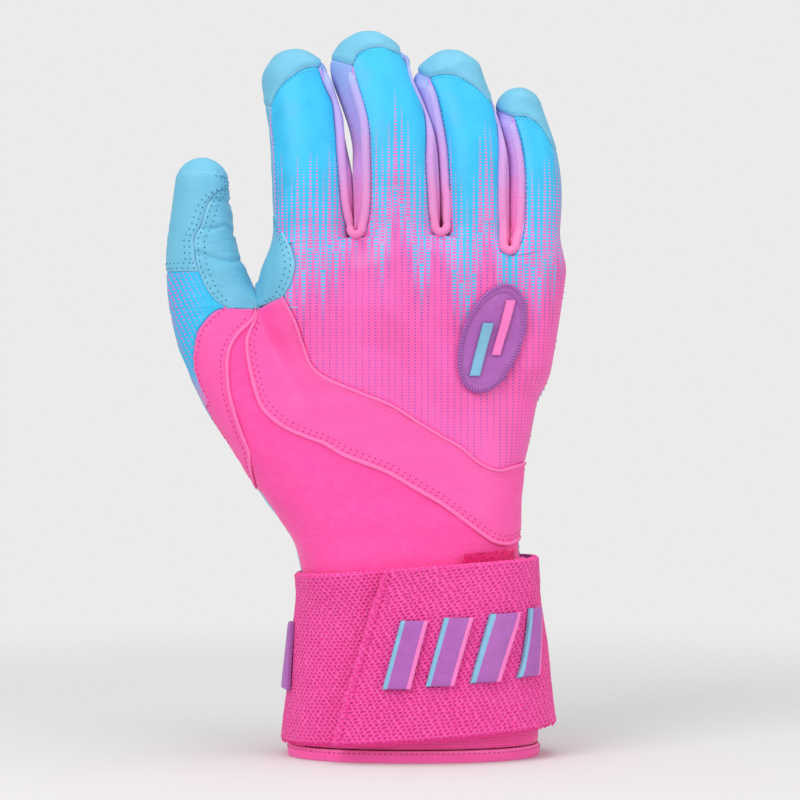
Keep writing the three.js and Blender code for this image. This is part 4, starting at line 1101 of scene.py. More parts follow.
def strap_material():
    """Wide elastic: staggered pinholes between small bumps, and a plain selvedge at either side. The pinholes
    are drawn darker as painted shade and the tops of the bumps lighter as a painted highlight.
    """
    shader = Shader("strap_elastic", roughness=0.68, specular=0.25, sheen=0.06)
    u, v, edge = shader.split(shader.attribute("cloth"))
    place = shader.attribute("place")
    row = shader.over(v, 1.12)
    line = shader.math("FLOOR", row)
    wobble = shader.remap(shader.noise(place, 0.45, 3), 0, 1, -0.5, 0.5)
    column = shader.plus(shader.plus(shader.over(u, 1.75), wobble), shader.times(line, 0.5))
    fu = shader.centred(column)
    fv = shader.centred(row)
    wide = shader.math("POWER", shader.times(fu, 1.35), 2.0)
    away = shader.math("SQRT", shader.plus(wide, shader.math("POWER", fv, 2.0)))
    hole = shader.remap(away, 0.26, 0.1)
    inside = shader.remap(edge, 0.9, 1.6)
    hole = shader.times(hole, inside)
    uneven = shader.remap(shader.noise(place, 0.9, 2), 0.35, 0.65, 0.3, 1.0)
    hole = shader.times(hole, uneven)
    thread = shader.wave(u, 0.42)
    bump = shader.remap(away, 0.2, 0.62)
    height = shader.minus(shader.plus(bump, shader.times(thread, 0.07)), hole)
    broad = shader.noise(place, 0.12, 3)
    colour = shader.mix(shader.remap(broad, 0.35, 0.7, 0.0, 0.35), STRAP_PINK, srgb(255, 80, 170))
    # Painted highlight: the tops of the small bumps are drawn lighter
    painted_bump_highlight = shader.times(shader.remap(bump, 0.5, 1.0), 0.3)
    colour = shader.mix(painted_bump_highlight, colour, srgb(255, 140, 202))
    # Painted shade: the pinholes are drawn darker
    colour = shader.mix(shader.times(hole, 0.6), colour, STRAP_HOLE_SHADE)
    return shader.done(colour, height, depth=0.5, strength=0.8)


def rubber_material(name, base):
    """Moulded rubber: smooth, slightly grainy, with painted shade that darkens it near its edges and in its
    low places.
    """
    shader = Shader(name, roughness=0.38, specular=0.45)
    place = shader.attribute("place")
    edge = shader.attribute("edge", "Fac")
    grain = shader.noise(place, 3.2, 3)
    broad = shader.noise(place, 0.35, 2)
    dark = tuple(c * 0.62 for c in base[:3]) + (1.0,)
    colour = shader.mix(shader.remap(broad, 0.35, 0.7, 0.0, 0.22), base, dark)
    # Painted shade: darker close to the edge, where the rounded rubber falls away
    colour = shader.mix(shader.remap(edge, 0.45, 0.0, 0.0, 0.5), colour, dark)
    return shader.done(colour, grain, depth=0.05, strength=0.4,
                       roughness=shader.remap(grain, 0.3, 0.7, 0.32, 0.46))


def thread_material(name, base, roughness=0.6):
    """Twisted thread, drawn darker in the grooves of its twist as painted shade."""
    shader = Shader(name, roughness=roughness, specular=0.35)
    x, _, z = shader.split(shader.attribute("place"))
    twist = shader.wave(shader.plus(x, z), 0.34)
    dark = tuple(c * 0.6 for c in base[:3]) + (1.0,)
    # Painted shade in the grooves of the twist
    colour = shader.mix(shader.remap(twist, -1, 1, 0.35, 0.0), base, dark)
    return shader.done(colour, twist, depth=0.05, strength=0.5)


def tape_material(name, base, deep):
    """Fastener tape: a felt of tiny hooks or loops."""
    shader = Shader(name, roughness=0.85, specular=0.1, sheen=0.5)
    place = shader.attribute("place")
    fuzz = shader.noise(place, 2.2, 5, 0.7)
    cells = shader.cells(place, 1.1)
    colour = shader.mix(shader.remap(fuzz, 0.35, 0.65), deep, base)
    return shader.done(colour, shader.plus(fuzz, shader.times(cells, 0.4)), depth=0.35,
                       strength=0.9)


PRINT = printed_material()
THUMB_PRINT = thumb_print_material()
BLUE_LEATHER = leather_material("blue_leather", LEATHER_BLUE, LEATHER_DEEP)
CREASED_LEATHER = leather_material("creased_leather", LEATHER_BLUE, LEATHER_DEEP, 0.46, 1.3)
PINK_PANEL = leather_material("pink_panel", PANEL_PINK, srgb(240, 70, 152), 0.48, 0.6)
RIB = rib_material("rib_knit", 0.04, 0.3)
# The rim's knit is the walls' knit drawn lighter as a painted highlight, with less painted shade in its
# grooves
RIM = rib_material("rim_knit", 0.22, 0.16)
RIB_FOOT = knit_material("rib_foot", srgb(255, 108, 184), srgb(206, 70, 150), 0.6, 0)
WRIST_KNIT = knit_material("pink_knit", KNIT_PINK, srgb(236, 52, 142))
SLEEVE_KNIT = knit_material("sleeve_knit", srgb(250, 84, 166), srgb(208, 44, 122), 0.9, 0)
STRAP = strap_material()
PURPLE_RUBBER = rubber_material("purple_rubber", PURPLE)
BLUE_RUBBER = rubber_material("blue_rubber", RUBBER_BLUE)
PINK_RUBBER = rubber_material("pink_rubber", RUBBER_PINK)
HEM_FABRIC = leather_material("hem_fabric", PANEL_PINK, srgb(238, 72, 152), 0.42, 0.4)
PINK_THREAD = thread_material("pink_thread", srgb(255, 120, 190))
DEEP_THREAD = thread_material("deep_pink_thread", srgb(214, 48, 128))
BLUE_THREAD = thread_material("blue_thread", srgb(46, 112, 150))
TEAL_THREAD = thread_material("teal_thread", TEAL)
PURPLE_THREAD = thread_material("purple_thread", srgb(186, 108, 194), 0.45)
STRAP_THREAD = thread_material("strap_thread", STRAP_PINK)
LOOP_THREAD = thread_material("loop_thread", LOOP_PINK)
NAVY_THREAD = thread_material("navy_thread", NAVY)
LILAC_THREAD = thread_material("lilac_thread", LILAC)
LOOP_TAPE = tape_material("loop_tape", LOOP_PINK, srgb(176, 8, 78))
HOOK_TAPE = tape_material("hook_tape", srgb(244, 60, 140), srgb(190, 30, 100))


def seam(pixels, side=None, wide=False, high=None):
    """A seam on the back of the hand as chart coordinates. side is a sign for left or right and
    the degrees round the hand's edge where the seam ends; high is that end's height."""
    steps = np.linspace(0, 1, 121)
    line = resample(curve(photo(pixels), 12 * len(pixels)), steps)
    line = chart_line(line, wide=wide)
    if side is not None:
        sign, degrees = side
        z = line[-1, 1] if high is None else high
        left, right, _, _ = middle_line(np.array(z))
        end = (left if sign < 0 else right) + sign * math.radians(degrees) * EDGE_INSET
        line = resample(np.vstack([line[:-1], [end, z]]), steps)
    return line


def straight(start, end, count=40):
    return np.linspace(start, end, count + 1)


def joined(*lines):
    """Lines end to end as one, in even steps along it."""
    whole = np.vstack([lines[0]] + [line[1:] for line in lines[1:]])
    return resample(whole, np.linspace(0, 1, 161))


LEFT_SIDE, RIGHT_SIDE, GUSSET_SIDE = (-1, 78), (1, 90), (-1, 115)
CUFF_EDGE = CUFF_TOP + 0.3 * mm
SADDLE_END = 88 * mm

upper_seam = seam(UPPER_RIDGE_PIXELS, side=RIGHT_SIDE)
upper_wide = seam(UPPER_RIDGE_PIXELS, side=RIGHT_SIDE, wide=True)
lower_seam = seam(LOWER_RIDGE_PIXELS, side=RIGHT_SIDE)
saddle_seam = seam(SADDLE_RIDGE_PIXELS, side=LEFT_SIDE, high=SADDLE_END)
print_seam = seam(PRINT_SEAM_PIXELS, side=LEFT_SIDE)
root_line = seam(ROOT_PIXELS, side=RIGHT_SIDE)
gusset_seam = seam(GUSSET_SEAM_PIXELS)
gusset_seam[0], gusset_seam[-1] = upper_seam[0], root_line[0]
web_seam = seam([(289, 243), (281, 228), (275, 210)])
web_seam[0] = root_line[0]


def wrinkles(amount, size, seed, stretch=(1, 1, 1), edges="", reach=4 * mm, puckers=0.0):
    """Soft wrinkles all over, and puckers beside the named edges."""
    def detail(patch):
        height = amount * ripple(patch.skin, size, seed, stretch)
        for key in edges.split():
            beside = np.exp(-(patch.distances[key] / reach) ** 2)
            height = height + puckers * beside * ripple(patch.skin, 4.5 * mm, seed + 7)
        return height
    return detail


def hand_shell(name, lower, upper, left, right, material, slot, nodes=(), side=-1,
               wall=PANEL_WALL, blend=None, coarse=0.9 * mm, wide=False, **options):
    """A panel on the hand between four chart lines; options go to its Patch."""
    patch = hand_patch(lower, upper, left, right, side, wall, coarse, wide, **options)
    return add(shell_object(name, [patch]), "hand", material, nodes, blend), patch


threads = {}


def keep_threads(material, body, meshes, blend=None):
    """Keeps meshes of thread, to be merged with the others of their thread and body."""
    threads.setdefault((material.name, body, blend), []).extend(meshes)


def stitch(material, body, line, pitch=1.75, length=1.15, radius=0.18, lift=0.0, lean=0.0,
           shift=0.0, blend=None):
    """A row of stitches along a line and its normals, with the sizes in mm."""
    keep_threads(material, body, [stitch_mesh(*line, pitch * mm, length * mm, radius * mm,
                                              lift * mm, lean, shift * mm)], blend)


def ridge(name, line, radius, rise, material, nodes, wide=False):
    """A soft raised cord along a seam, thinner towards its ends."""
    points, _ = hand_skin(line[:, 0], line[:, 1], wide=wide)
    normals = form_normals(hand_form, points)
    share = lengths(points) / lengths(points)[-1]
    taper = np.minimum(1, np.minimum(share, 1 - share) * 18 + 0.25)
    taper = taper * (1 + 0.06 * ripple(points, 5 * mm, 91))
    mesh = tube_mesh(points + normals * rise, radius * taper, 10, normals, 0.8)
    return add(merged_object(name, [mesh]), "hand", material, nodes)


FINGER_BLENDS = {name: (("hand", name), (0, 0, 0.1725), (0, 0, 0.195)) for name in FINGERS}
THUMB_JOIN = (("hand", "thumb"), (0, 0, 0.149), (0, 0, 0.166))

# The band, the stretch panel and the thumb's saddle
WEB_FOOT = [(256, 307.3), (262, 304.5), (271, 300.5), (282, 296)]
band_left = seam(WEB_FOOT, wide=True)
band_left[0], band_left[-1] = lower_seam[0], upper_wide[0]
band_right = side_line(lower_seam[-1, 1], upper_wide[-1, 1], *RIGHT_SIDE)
band, band_patch = hand_shell(
    "raised_band", lower_seam, upper_wide, band_left, band_right, PINK_PANEL, "pink_panel",
    ["wrist_band"], wide=True, rise=0.5 * mm, rolled="lower upper left", coarse=0.8 * mm,
    rows_at=[("upper", 2.1 * mm), ("lower", 1.4 * mm), ("lower", 2.7 * mm)],
    detail=wrinkles(0.22 * mm, 12 * mm, 5, (1.6, 1, 1), "lower upper", 3.4 * mm, 0.14 * mm),
)
stitch(PINK_THREAD, "hand", band_patch.along("upper", 2.1 * mm, 0.02, 0.99), 1.75, 1.15, 0.17)
stitch(DEEP_THREAD, "hand", band_patch.along("lower", 1.4 * mm, 0.03, 0.98), 2.1, 0.8, 0.16)
stitch(DEEP_THREAD, "hand", band_patch.along("lower", 2.7 * mm, 0.03, 0.98), 2.1, 0.8, 0.16, shift=1.05)

knit_left = joined(saddle_seam, side_line(SADDLE_END, CUFF_EDGE, *LEFT_SIDE))
knit_right = joined(lower_seam, side_line(lower_seam[-1, 1], CUFF_EDGE, *RIGHT_SIDE))
knit_rows, knit_columns = np.linspace(0, 1, 230), np.linspace(0, 1, 110)
knit_left = resample(knit_left, knit_rows ** 0.62)[:, None]
knit_right = resample(knit_right, knit_rows)[:, None]
knit_chart = knit_left + (knit_right - knit_left) * knit_columns[None, :, None]
skin, out = hand_skin(knit_chart[..., 0], knit_chart[..., 1])
knit_patch = Patch(skin, out, KNIT_WALL, rolled="left right", roll=0.3 * mm,
                   detail=wrinkles(0.2 * mm, 11 * mm, 8, (2.4, 1, 1)))
add(shell_object("stretch_wrist", [knit_patch]), "hand", WRIST_KNIT, ["wrist_knit"])

# The saddle over the base of the thumb, and the print beyond it
print_seam[0, 1] = saddle_seam[0, 1] = THUMB_ROOT
saddle_left = joined(print_seam, side_line(print_seam[-1, 1], SADDLE_END, *LEFT_SIDE))
saddle_right = saddle_seam.copy()
inner_end = side_line(SADDLE_END, SADDLE_END, -1, 62)[0]
saddle_right[-1] = inner_end
_, saddle_patch = hand_shell(
    "thumb_saddle_panel", straight(saddle_left[-1], inner_end), straight(saddle_left[0], saddle_right[0]),
    saddle_left[::-1], saddle_right[::-1], PINK_PANEL, "pink_panel", ["thumb_saddle"],
    rise=0.25 * mm, rolled="upper left right", rows_at=[("left", 1.9 * mm), ("right", 2.2 * mm)],
    detail=wrinkles(0.2 * mm, 13 * mm, 11, (1, 1, 1.5), "left right", 4 * mm, 0.12 * mm),
)
stitch(DEEP_THREAD, "hand", saddle_patch.along("left", 1.9 * mm, 0.25, 0.97), 1.8, 0.9, 0.15)
stitch(DEEP_THREAD, "hand", saddle_patch.along("right", 2.2 * mm, 0.05, 0.95), 1.8, 0.9, 0.15)

print_left = side_line(print_seam[-1, 1] - 1 * mm, THUMB_ROOT, *LEFT_SIDE)
hand_shell(
    "thumb_print_lower", straight(print_left[0], print_seam[-1], 8), straight(print_left[-1], print_seam[0]),
    print_left, print_seam[::-1], THUMB_PRINT, "printed_fabric", ["thumb_print"], rolled="right",
    detail=wrinkles(0.12 * mm, 10 * mm, 13),
)

ridge("upper_ridge", upper_wide, 0.6 * mm, 0.42 * mm, PINK_PANEL, ["upper_piping"], True)
ridge("lower_ridge", lower_seam, 0.7 * mm, 0.4 * mm, PINK_PANEL, ["lower_piping"])
ridge("saddle_ridge", saddle_seam, 0.65 * mm, 0.36 * mm, PINK_PANEL, ["saddle_piping"])

# The leather gusset of the web, which runs up beside the index finger's root
foot = seam(WEB_FOOT[1:])
foot[-1] = upper_seam[0]
foot[:, 1] = np.maximum(foot[:, 1], THUMB_ROOT + 0.2 * mm)
gusset_right = joined(foot, gusset_seam, web_seam)
gusset_left = side_line(THUMB_ROOT + 0.2 * mm, web_seam[-1, 1], *GUSSET_SIDE)
_, gusset_patch = hand_shell(
    "web_leather", straight(gusset_left[0], gusset_right[0]), straight(gusset_left[-1], gusset_right[-1]),
    gusset_left, gusset_right, CREASED_LEATHER, "blue_leather", ["web_gusset"], wall=LEATHER_WALL,
    rise=0.2 * mm, rolled="right upper lower", rows_at=[("right", 1.6 * mm), ("right", 3.0 * mm)],
    blend=FINGER_BLENDS["index"], coarse=0.6 * mm,
    detail=wrinkles(0.2 * mm, 6 * mm, 17, (1, 1, 2.4), "right", 3 * mm, 0.12 * mm),
)
for away, shift in ((1.5 * mm, 0), (3.4 * mm, 0.9)):
    stitch(BLUE_THREAD, "hand", gusset_patch.along("right", away, 0.08, 0.92), 1.9, 0.7, 0.17,
           shift=shift, blend=FINGER_BLENDS["index"])


# The palm: leather from the thumb's ball to the little finger's side
def fold_lines(patch):
    """Creases of the palm: two that cross it and one round the thumb's ball."""
    x, z = patch.skin[..., 0] / mm, patch.skin[..., 2] / mm
    creases = [z - (138 + 0.16 * x), z - (122 - 0.28 * x), x + 22 - 16 * np.sin((z - 70) / 34)]
    height = 0.25 * mm * ripple(patch.skin, 8 * mm, 23)
    for crease in creases:
        height = height - 0.5 * mm * np.exp(-(crease / 1.1) ** 2)
    return height


BALL = [(-0.3, CUFF_EDGE / GLOVE_LENGTH), (-0.312, 0.33), (-0.335, 0.45), (-0.38, 0.54), (-0.46, 0.60),
        (-0.545, THUMB_ROOT / GLOVE_LENGTH)]
ball = curve(np.array(BALL) * [KNUCKLE_WIDTH, GLOVE_LENGTH], 90)
ball = chart_line(ball, side=1)
palm_root = side_line(THUMB_ROOT + 0.3 * mm, FINGER_ROOT, -1, 180 - 115)
palm_left = joined(ball, palm_root)
palm_right = side_line(CUFF_EDGE, FINGER_ROOT, 1, 90)
_, palm_patch = hand_shell(
    "palm_leather_panel", straight(palm_left[0], palm_right[0]), straight(palm_left[-1], palm_right[-1]),
    palm_left, palm_right, CREASED_LEATHER, "blue_leather", ["palm_leather"], side=1,
    wall=LEATHER_WALL, rolled="left right lower", coarse=1.1 * mm, detail=fold_lines,
)
ball_side = side_line(CUFF_EDGE, THUMB_ROOT, -1, 180 - 78)
_, ball_patch = hand_shell(
    "thumb_ball_leather", straight(ball_side[0], ball[0]), straight(ball_side[-1], ball[-1]),
    ball_side, ball, BLUE_LEATHER, "blue_leather", ["thumb_base_leather"], side=1,
    wall=LEATHER_WALL, rolled="left right lower", coarse=1.1 * mm,
    detail=wrinkles(0.25 * mm, 9 * mm, 27, (1, 1, 1.4)),
)
stitch(BLUE_THREAD, "hand", palm_patch.along("left", 1.6 * mm, 0.02, 0.98), 2.0, 0.9, 0.17)
stitch(BLUE_THREAD, "hand", palm_patch.along("right", 1.6 * mm, 0.02, 0.98), 2.0, 0.9, 0.17)
stitch(BLUE_THREAD, "hand", ball_patch.along("right", 1.6 * mm, 0.02, 0.98), 2.0, 0.9, 0.17)


# The fingers. Seams where the camera sees them, as pixels; the other edges in degrees round the
# finger from its back, and shares of the tip's half width
BACK_LEFT_PIXELS = {
    "middle": [(353, 65.2), (354.5, 75), (360.8, 96), (367.8, 124), (369.2, 152), (369.9, 180),
               (369.2, 208), (367, 222), (362.2, 232), (355.9, 237.8)],
    "ring": [(429.6, 77.4), (435.5, 94.3), (440.6, 116), (444.3, 135), (447.9, 164.6), (449.4, 194),
             (448.7, 214), (446.5, 226), (441.3, 235.7)],
    "little": [(512.4, 116.2), (518.3, 135.3), (522.7, 157.3), (524.5, 179.3), (524.2, 208.6),
               (522.7, 230.6), (518.5, 244), (510.2, 254.8)],
}
BACK_RIGHT_PIXELS = {
    "index": [(319.4, 66.6), (325.7, 86.3), (332.7, 101.7), (335.8, 124), (337.6, 152), (339.7, 180),
              (342.5, 208), (347.5, 226), (355.9, 237.8)],
    "middle": [(401.7, 54.7), (412, 69.3), (421.5, 88.4), (425.2, 113.3), (426.7, 157.3),
               (428.9, 201.3), (430.3, 218), (434, 229), (441.3, 235.7)],
    "ring": [(491.9, 103.8), (497, 120.6), (499.2, 142.6), (498.5, 172), (498.5, 208.6),
             (500, 230.6), (503.6, 245.3), (510.2, 254.8)],
}
CAP_SEAM_PIXELS = {
    "index": [(271, 107), (273, 97), (280, 86), (289, 78), (301, 70), (311, 67), (319.4, 66.6)],
    "middle": [(353, 65.2), (357, 55), (364, 50), (374, 47), (384, 47), (393, 50), (401.7, 54.7)],
    "ring": [(429.6, 77.4), (437, 75), (445, 74), (456, 75), (468, 81), (479, 89), (488, 99), (491.9, 103.8)],
    "little": [(512.4, 116.2), (521, 116), (528, 117), (539, 123), (546, 133), (553, 145), (557, 157)],
}
OUTER_TURNS = {"index": -66, "little": 100}
PALM_TURNS = {"index": (-112, 126), "middle": (-126, 126), "ring": (-126, 126), "little": (-126, 104)}
WALL_LIFT = 3.2 * mm
RIM_WIDTH = 2.6 * mm
RIM_GAP = 0.05 * mm
SLIT_OPENS = 197 * mm


def even(line, shares=np.linspace(0, 1, 61)):
    return resample(np.array(line, float), shares)


def finger_edges(name, limb):
    """The corner lines of a finger's panels, as (degrees, s): the back's left, right and top."""
    cap = limb.find(CAP_SEAM_PIXELS[name])
    low = photo([ROOT_PIXELS[-1] if name == "little" else ROOT_PIXELS[0]])[0, 1] - limb.end[1]
    edges = {}
    if name in BACK_LEFT_PIXELS:
        edges["left"] = limb.find(BACK_LEFT_PIXELS[name])[::-1]
    else:
        edges["left"] = np.array([(OUTER_TURNS[name], s) for s in np.linspace(low, cap[0, 1], 9)])
    if name in BACK_RIGHT_PIXELS:
        edges["right"] = limb.find(BACK_RIGHT_PIXELS[name])[::-1]
    else:
        cap[-1] = (OUTER_TURNS[name], cap[-1, 1])
        edges["right"] = np.array([(OUTER_TURNS[name], s) for s in np.linspace(low, cap[-1, 1], 9)])
    edges["left"][-1], edges["right"][-1] = cap[0], cap[-1]
    smooth = {}
    for key, line in (("left", edges["left"]), ("right", edges["right"]), ("cap", cap)):
        smooth[key] = limb.unchart_line(even(curve(limb.chart(line), 60)))
    return smooth


def finger_wall(name, side, limb, back_edge, palm_turn, material, node, top):
    """The strip between the back's edge and the palm leather, which ends in a rounded top."""
    far = np.array([(palm_turn, s) for s in np.linspace(limb.foot, top, 30)])
    left, right = (far, back_edge) if side < 0 else (back_edge, far)
    lower = np.linspace(left[0], right[0], 20)
    arch = np.linspace(left[-1], right[-1], 20)
    arch[:, 1] += 1.2 * mm * np.sin(np.linspace(0, math.pi, 20))
    skin, out = limb.grid(lower, arch, left, right, 0.6 * mm)
    rolled = "upper right" if side < 0 else "upper left"
    key = "right" if side < 0 else "left"
    at = FINGERS.index(name)
    pair = (at - 1, at) if side < 0 else (at, at + 1)

    def detail(patch):
        """The knit swells out until it all but meets the next finger's."""
        soft = wrinkles(0.1 * mm, 6 * mm, 31, (1, 1, 1.5))(patch)
        if material is not RIB:
            return soft
        away, top = patch.distances[key], patch.distances["upper"]
        z = patch.skin[..., 2]
        slit = slit_at(LIMBS[FINGERS[pair[0]]], LIMBS[FINGERS[pair[1]]], z)
        room = (slit - patch.skin[..., 0]) * side - RIM_GAP
        push = np.clip(room / np.maximum(np.abs(patch.normals[..., 0]), 0.6), 0, 2.2 * mm)
        roll = smoothstep(away, 0, RIM_WIDTH) * smoothstep(top, 0, 5 * mm)
        high = SLIT_OPENS if pair[0] == 0 else GLOVE_LENGTH
        push = push * roll * (1 - smoothstep(z, high - 6 * mm, high + 6 * mm) * (pair[0] == 0))
        return soft * (1 - 0.7 * roll) + push

    patch = Patch(skin, out, PANEL_WALL, rolled=rolled, cloth=wall_cloth, detail=detail)
    obj = shell_object(f"{name}_{'thumb' if side < 0 else 'little'}_side_wall", [patch])
    add(obj, name, material, [node], FINGER_BLENDS[name])
    points, normals = patch.along(key, 0.15 * mm, 0.02, 0.99)
    rim = tube_mesh(points + normals * 0.2 * mm, 0.34 * mm, 8, normals)
    keep_threads(LILAC_THREAD, name, [rim], FINGER_BLENDS[name])


def wall_top(first, last, start, end):
    """The cap's edge over a wall, as degrees and heights: it arches a little."""
    steps = np.linspace(0, math.pi, 12)
    heights = np.interp(np.linspace(0, 1, 12), [0, 1], [start, end])
    return np.linspace(first, last, 12), heights + 1.2 * mm * np.sin(steps) * 0.9


def wall_cloth(patch):
    """The wall's cloth lies with y up the finger and x across it."""
    return np.stack([patch.distances["left"], patch.skin[..., 2], patch.skin[..., 1]], -1)


def finger(name):
    """Builds a finger's panels and returns the patch of its back."""
    limb = Limb(name, finger_form(name), FINGER_ROOT)
    low, high = PALM_TURNS[name]
    if name == "index":
        limb.open_turns = ((-200, -199), (20, high))
    elif name == "little":
        limb.open_turns = ((low, -20), (199, 200))
    else:
        limb.open_turns = ((low, -20), (20, high))
    edges = finger_edges(name, limb)
    lower = limb.root_line(edges["left"][0], edges["right"][0])
    skin, out = limb.grid(lower, edges["cap"], edges["left"], edges["right"], 0.7 * mm)
    rolled = "upper" + (" left" if name in BACK_LEFT_PIXELS or name == "index" else "")
    rolled += " right" if name in BACK_RIGHT_PIXELS else ""
    patch = Patch(skin, out, PANEL_WALL, rolled=rolled, cloth=print_cloth,
                  detail=wrinkles(0.16 * mm, 17 * mm, 3, (1, 1, 2.2)))
    blend = FINGER_BLENDS[name]
    add(shell_object(f"{name}_back_print", [patch]), name, PRINT, [f"{name}_back"], blend)
    stitch(TEAL_THREAD, name, patch.along("upper", 1.2 * mm, 0.06, 0.94), 1.25, 0.45, 0.1, blend=blend)
    for key in ("left", "right"):
        if key in rolled:
            stitch(NAVY_THREAD, name, patch.along(key, 0.75 * mm, 0.06, 0.97), 1.6, 0.5, 0.12, blend=blend)

    # The walls, in rib knit, with leather on the index finger's thumb side
    if name == "index":
        finger_wall(name, -1, limb, edges["left"], low, BLUE_LEATHER,
                    "index_wall_thumb_side", edges["left"][-1, 1])
    else:
        finger_wall(name, -1, limb, edges["left"], low, RIB, f"{name}_wall_thumb_side",
                    edges["left"][-1, 1] + WALL_LIFT)
    if name != "little":
        finger_wall(name, 1, limb, edges["right"], high, RIB, f"{name}_wall_little_side",
                    edges["right"][-1, 1] + WALL_LIFT)

    # The palm side's leather, and the cap that it folds over the tip
    left_top = edges["left"][-1, 1] + (0 if name == "index" else WALL_LIFT)
    right_top = edges["right"][-1, 1] + (WALL_LIFT if name != "little" else 0)
    first = OUTER_TURNS[name] if name == "little" else high
    last = low + 360
    middle_turns = np.linspace(first, last, 60)
    share = (middle_turns - first) / (last - first)
    seam_height = right_top + (left_top - right_top) * share
    columns = stations((last - first) / 180 * math.pi * limb.scale, 0.8 * mm)
    rows = stations(seam_height.max() - limb.foot, 0.8 * mm)
    turns = first + (last - first) * columns
    tops = np.interp(turns, middle_turns, seam_height)
    skin, out = limb.skin(turns[None], limb.foot + (tops - limb.foot)[None] * rows[:, None])
    skirt = Patch(skin, out, LEATHER_WALL, rolled="left right",
                  detail=wrinkles(0.22 * mm, 8 * mm, 37, (1.4, 1, 0.8)))

    # Round the tip: from the seam line of every direction up to the pole
    left_turn, left_start = edges["left"][-1]
    right_turn, right_start = edges["right"][-1]
    back_turns = np.linspace(left_turn, right_turn, len(stations(20 * mm, 0.8 * mm)))
    parts = [wall_top(low, left_turn, left_top, left_start),
             (back_turns, np.interp(back_turns, edges["cap"][:, 0], edges["cap"][:, 1]))]
    if name != "little":
        parts.append(wall_top(right_turn, high, right_start, right_top))
    ring_turns = np.concatenate([turns[:-1] - 360, *(part[0][:-1] for part in parts), [first]])
    ring_tops = np.concatenate([tops[:-1], *(part[1][:-1] for part in parts), [tops[0]]])
    cap_rows = np.concatenate([np.linspace(0, 0.12, 5)[:-1], np.linspace(0.12, 1, 16)])
    up = ring_tops[None] + (limb.pole - ring_tops)[None] * cap_rows[:, None]
    skin, out = limb.skin(ring_turns[None], up)
    skin[-1] = skin[-1].mean(0)
    cap = Patch(skin, out, LEATHER_WALL, detail=cap_detail(len(turns) - 1))
    leather = shell_object(f"{name}_tip_leather", [skirt, cap])
    add(leather, name, CREASED_LEATHER, [f"{name}_leather"], blend)
    return patch


def cap_detail(covered):
    """The cap's leather bulges beside its seam on the back, but not where the skirt goes on."""
    def detail(patch):
        away = patch.distances["lower"]
        free = np.ones(patch.skin.shape[1])
        free[:covered + 1] = 0
        fade = np.minimum(1, np.abs(np.arange(len(free)) - covered) / 6) * free
        roll = np.clip(1 - away / ROLL_WIDTH, 0, 1)
        bulge = 0.25 * mm * np.exp(-((away - 1.8 * mm) / (1.4 * mm)) ** 2)
        height = (bulge - ROLL_DEPTH * roll**2) * fade[None]
        dip = 0.06 * mm * ripple(patch.skin, 4 * mm, 41)
        return height + (0.22 * mm * ripple(patch.skin, 8 * mm, 37, (1.4, 1, 0.8)) + dip * fade[None])
    return detail


finger_backs = {name: finger(name) for name in FINGERS}

# The back of the hand, which meets the fingers' panels at the root line
roots = np.vstack([finger_backs[name].skin[0] for name in FINGERS])
roots = roots[np.argsort(roots[:, 0])][:, [0, 2]]
hand_start = photo([ROOT_PIXELS[0]])[0]
roots = np.vstack([hand_start, roots[roots[:, 0] > hand_start[0] + 0.4 * mm]])
root_chart = chart_line(roots)
root_chart[0] = root_line[0]
CROTCHES = photo([(355.9, 237.8), (441.3, 235.7), (510.2, 254.8)])
TURN_STRETCH = 1.8  # how much longer the cloth is than its chart where it turns round the hand's edge


def back_detail(patch):
    """Wrinkles, and a dip where each of the slits between the fingers ends."""
    height = wrinkles(0.16 * mm, 17 * mm, 3, (1, 1, 2.2), "lower left", 5 * mm, 0.0)(patch)
    for x, z in CROTCHES:
        away = np.hypot(patch.skin[..., 0] - x, patch.skin[..., 2] - z)
        height = height - ROLL_DEPTH * np.clip(1 - away / (2.6 * mm), 0, 1) ** 2
    return height


right_side = side_line(upper_seam[-1, 1], root_chart[-1, 1], *RIGHT_SIDE)
root_chart[-1] = right_side[-1]
columns = stations(lengths(root_chart)[-1], 0.8 * mm)
rows = stations(lengths(right_side)[-1], 0.8 * mm)
grid = filled_grid(resample(upper_seam, columns), resample(root_chart, columns),
                   resample(gusset_seam, rows), resample(right_side, rows))
skin, out = hand_skin(grid[..., 0], grid[..., 1])
inside = np.clip(grid[..., 0], *middle_line(grid[..., 1])[:2])
cloth_x = inside + (grid[..., 0] - inside) * TURN_STRETCH
back_patch = Patch(skin, out, PANEL_WALL, rolled="lower left", detail=back_detail)
back_patch.cloth = np.stack([cloth_x, skin[..., 2], skin[..., 1]], -1)
add(shell_object("back_print", [back_patch]), "hand", PRINT, ["back_panel"])

# A soft roll of knit closes the foot of each slit
ROLL_RADIUS, ROLL_LENGTH = 2.4 * mm, 23 * mm
for number, (x, z) in enumerate(CROTCHES):
    front = hand_skin(np.array([x]), np.array([z]))[0][0, 1]
    deep = np.concatenate([np.linspace(0.02, 1, 8) ** 2 * ROLL_RADIUS,
                           np.linspace(ROLL_RADIUS, ROLL_LENGTH - ROLL_RADIUS, 20)[1:-1],
                           ROLL_LENGTH - np.linspace(1, 0.02, 8) ** 2 * ROLL_RADIUS])
    ends = np.clip(1 - np.minimum(deep, ROLL_LENGTH - deep) / ROLL_RADIUS, 0, 1)
    line = np.stack([np.full(len(deep), x), front + 2.0 * mm + deep,
                     np.full(len(deep), z + 1.9 * mm)], 1)
    across = np.tile([0.0, 0.0, 1.0], (len(deep), 1))
    roll = tube_mesh(line, ROLL_RADIUS * np.sqrt(1 - ends**2) + 0.01 * mm, 20, across, 0.7)
    add(merged_object(f"crotch_roll_{number + 1}", [roll]), "hand", RIB_FOOT)

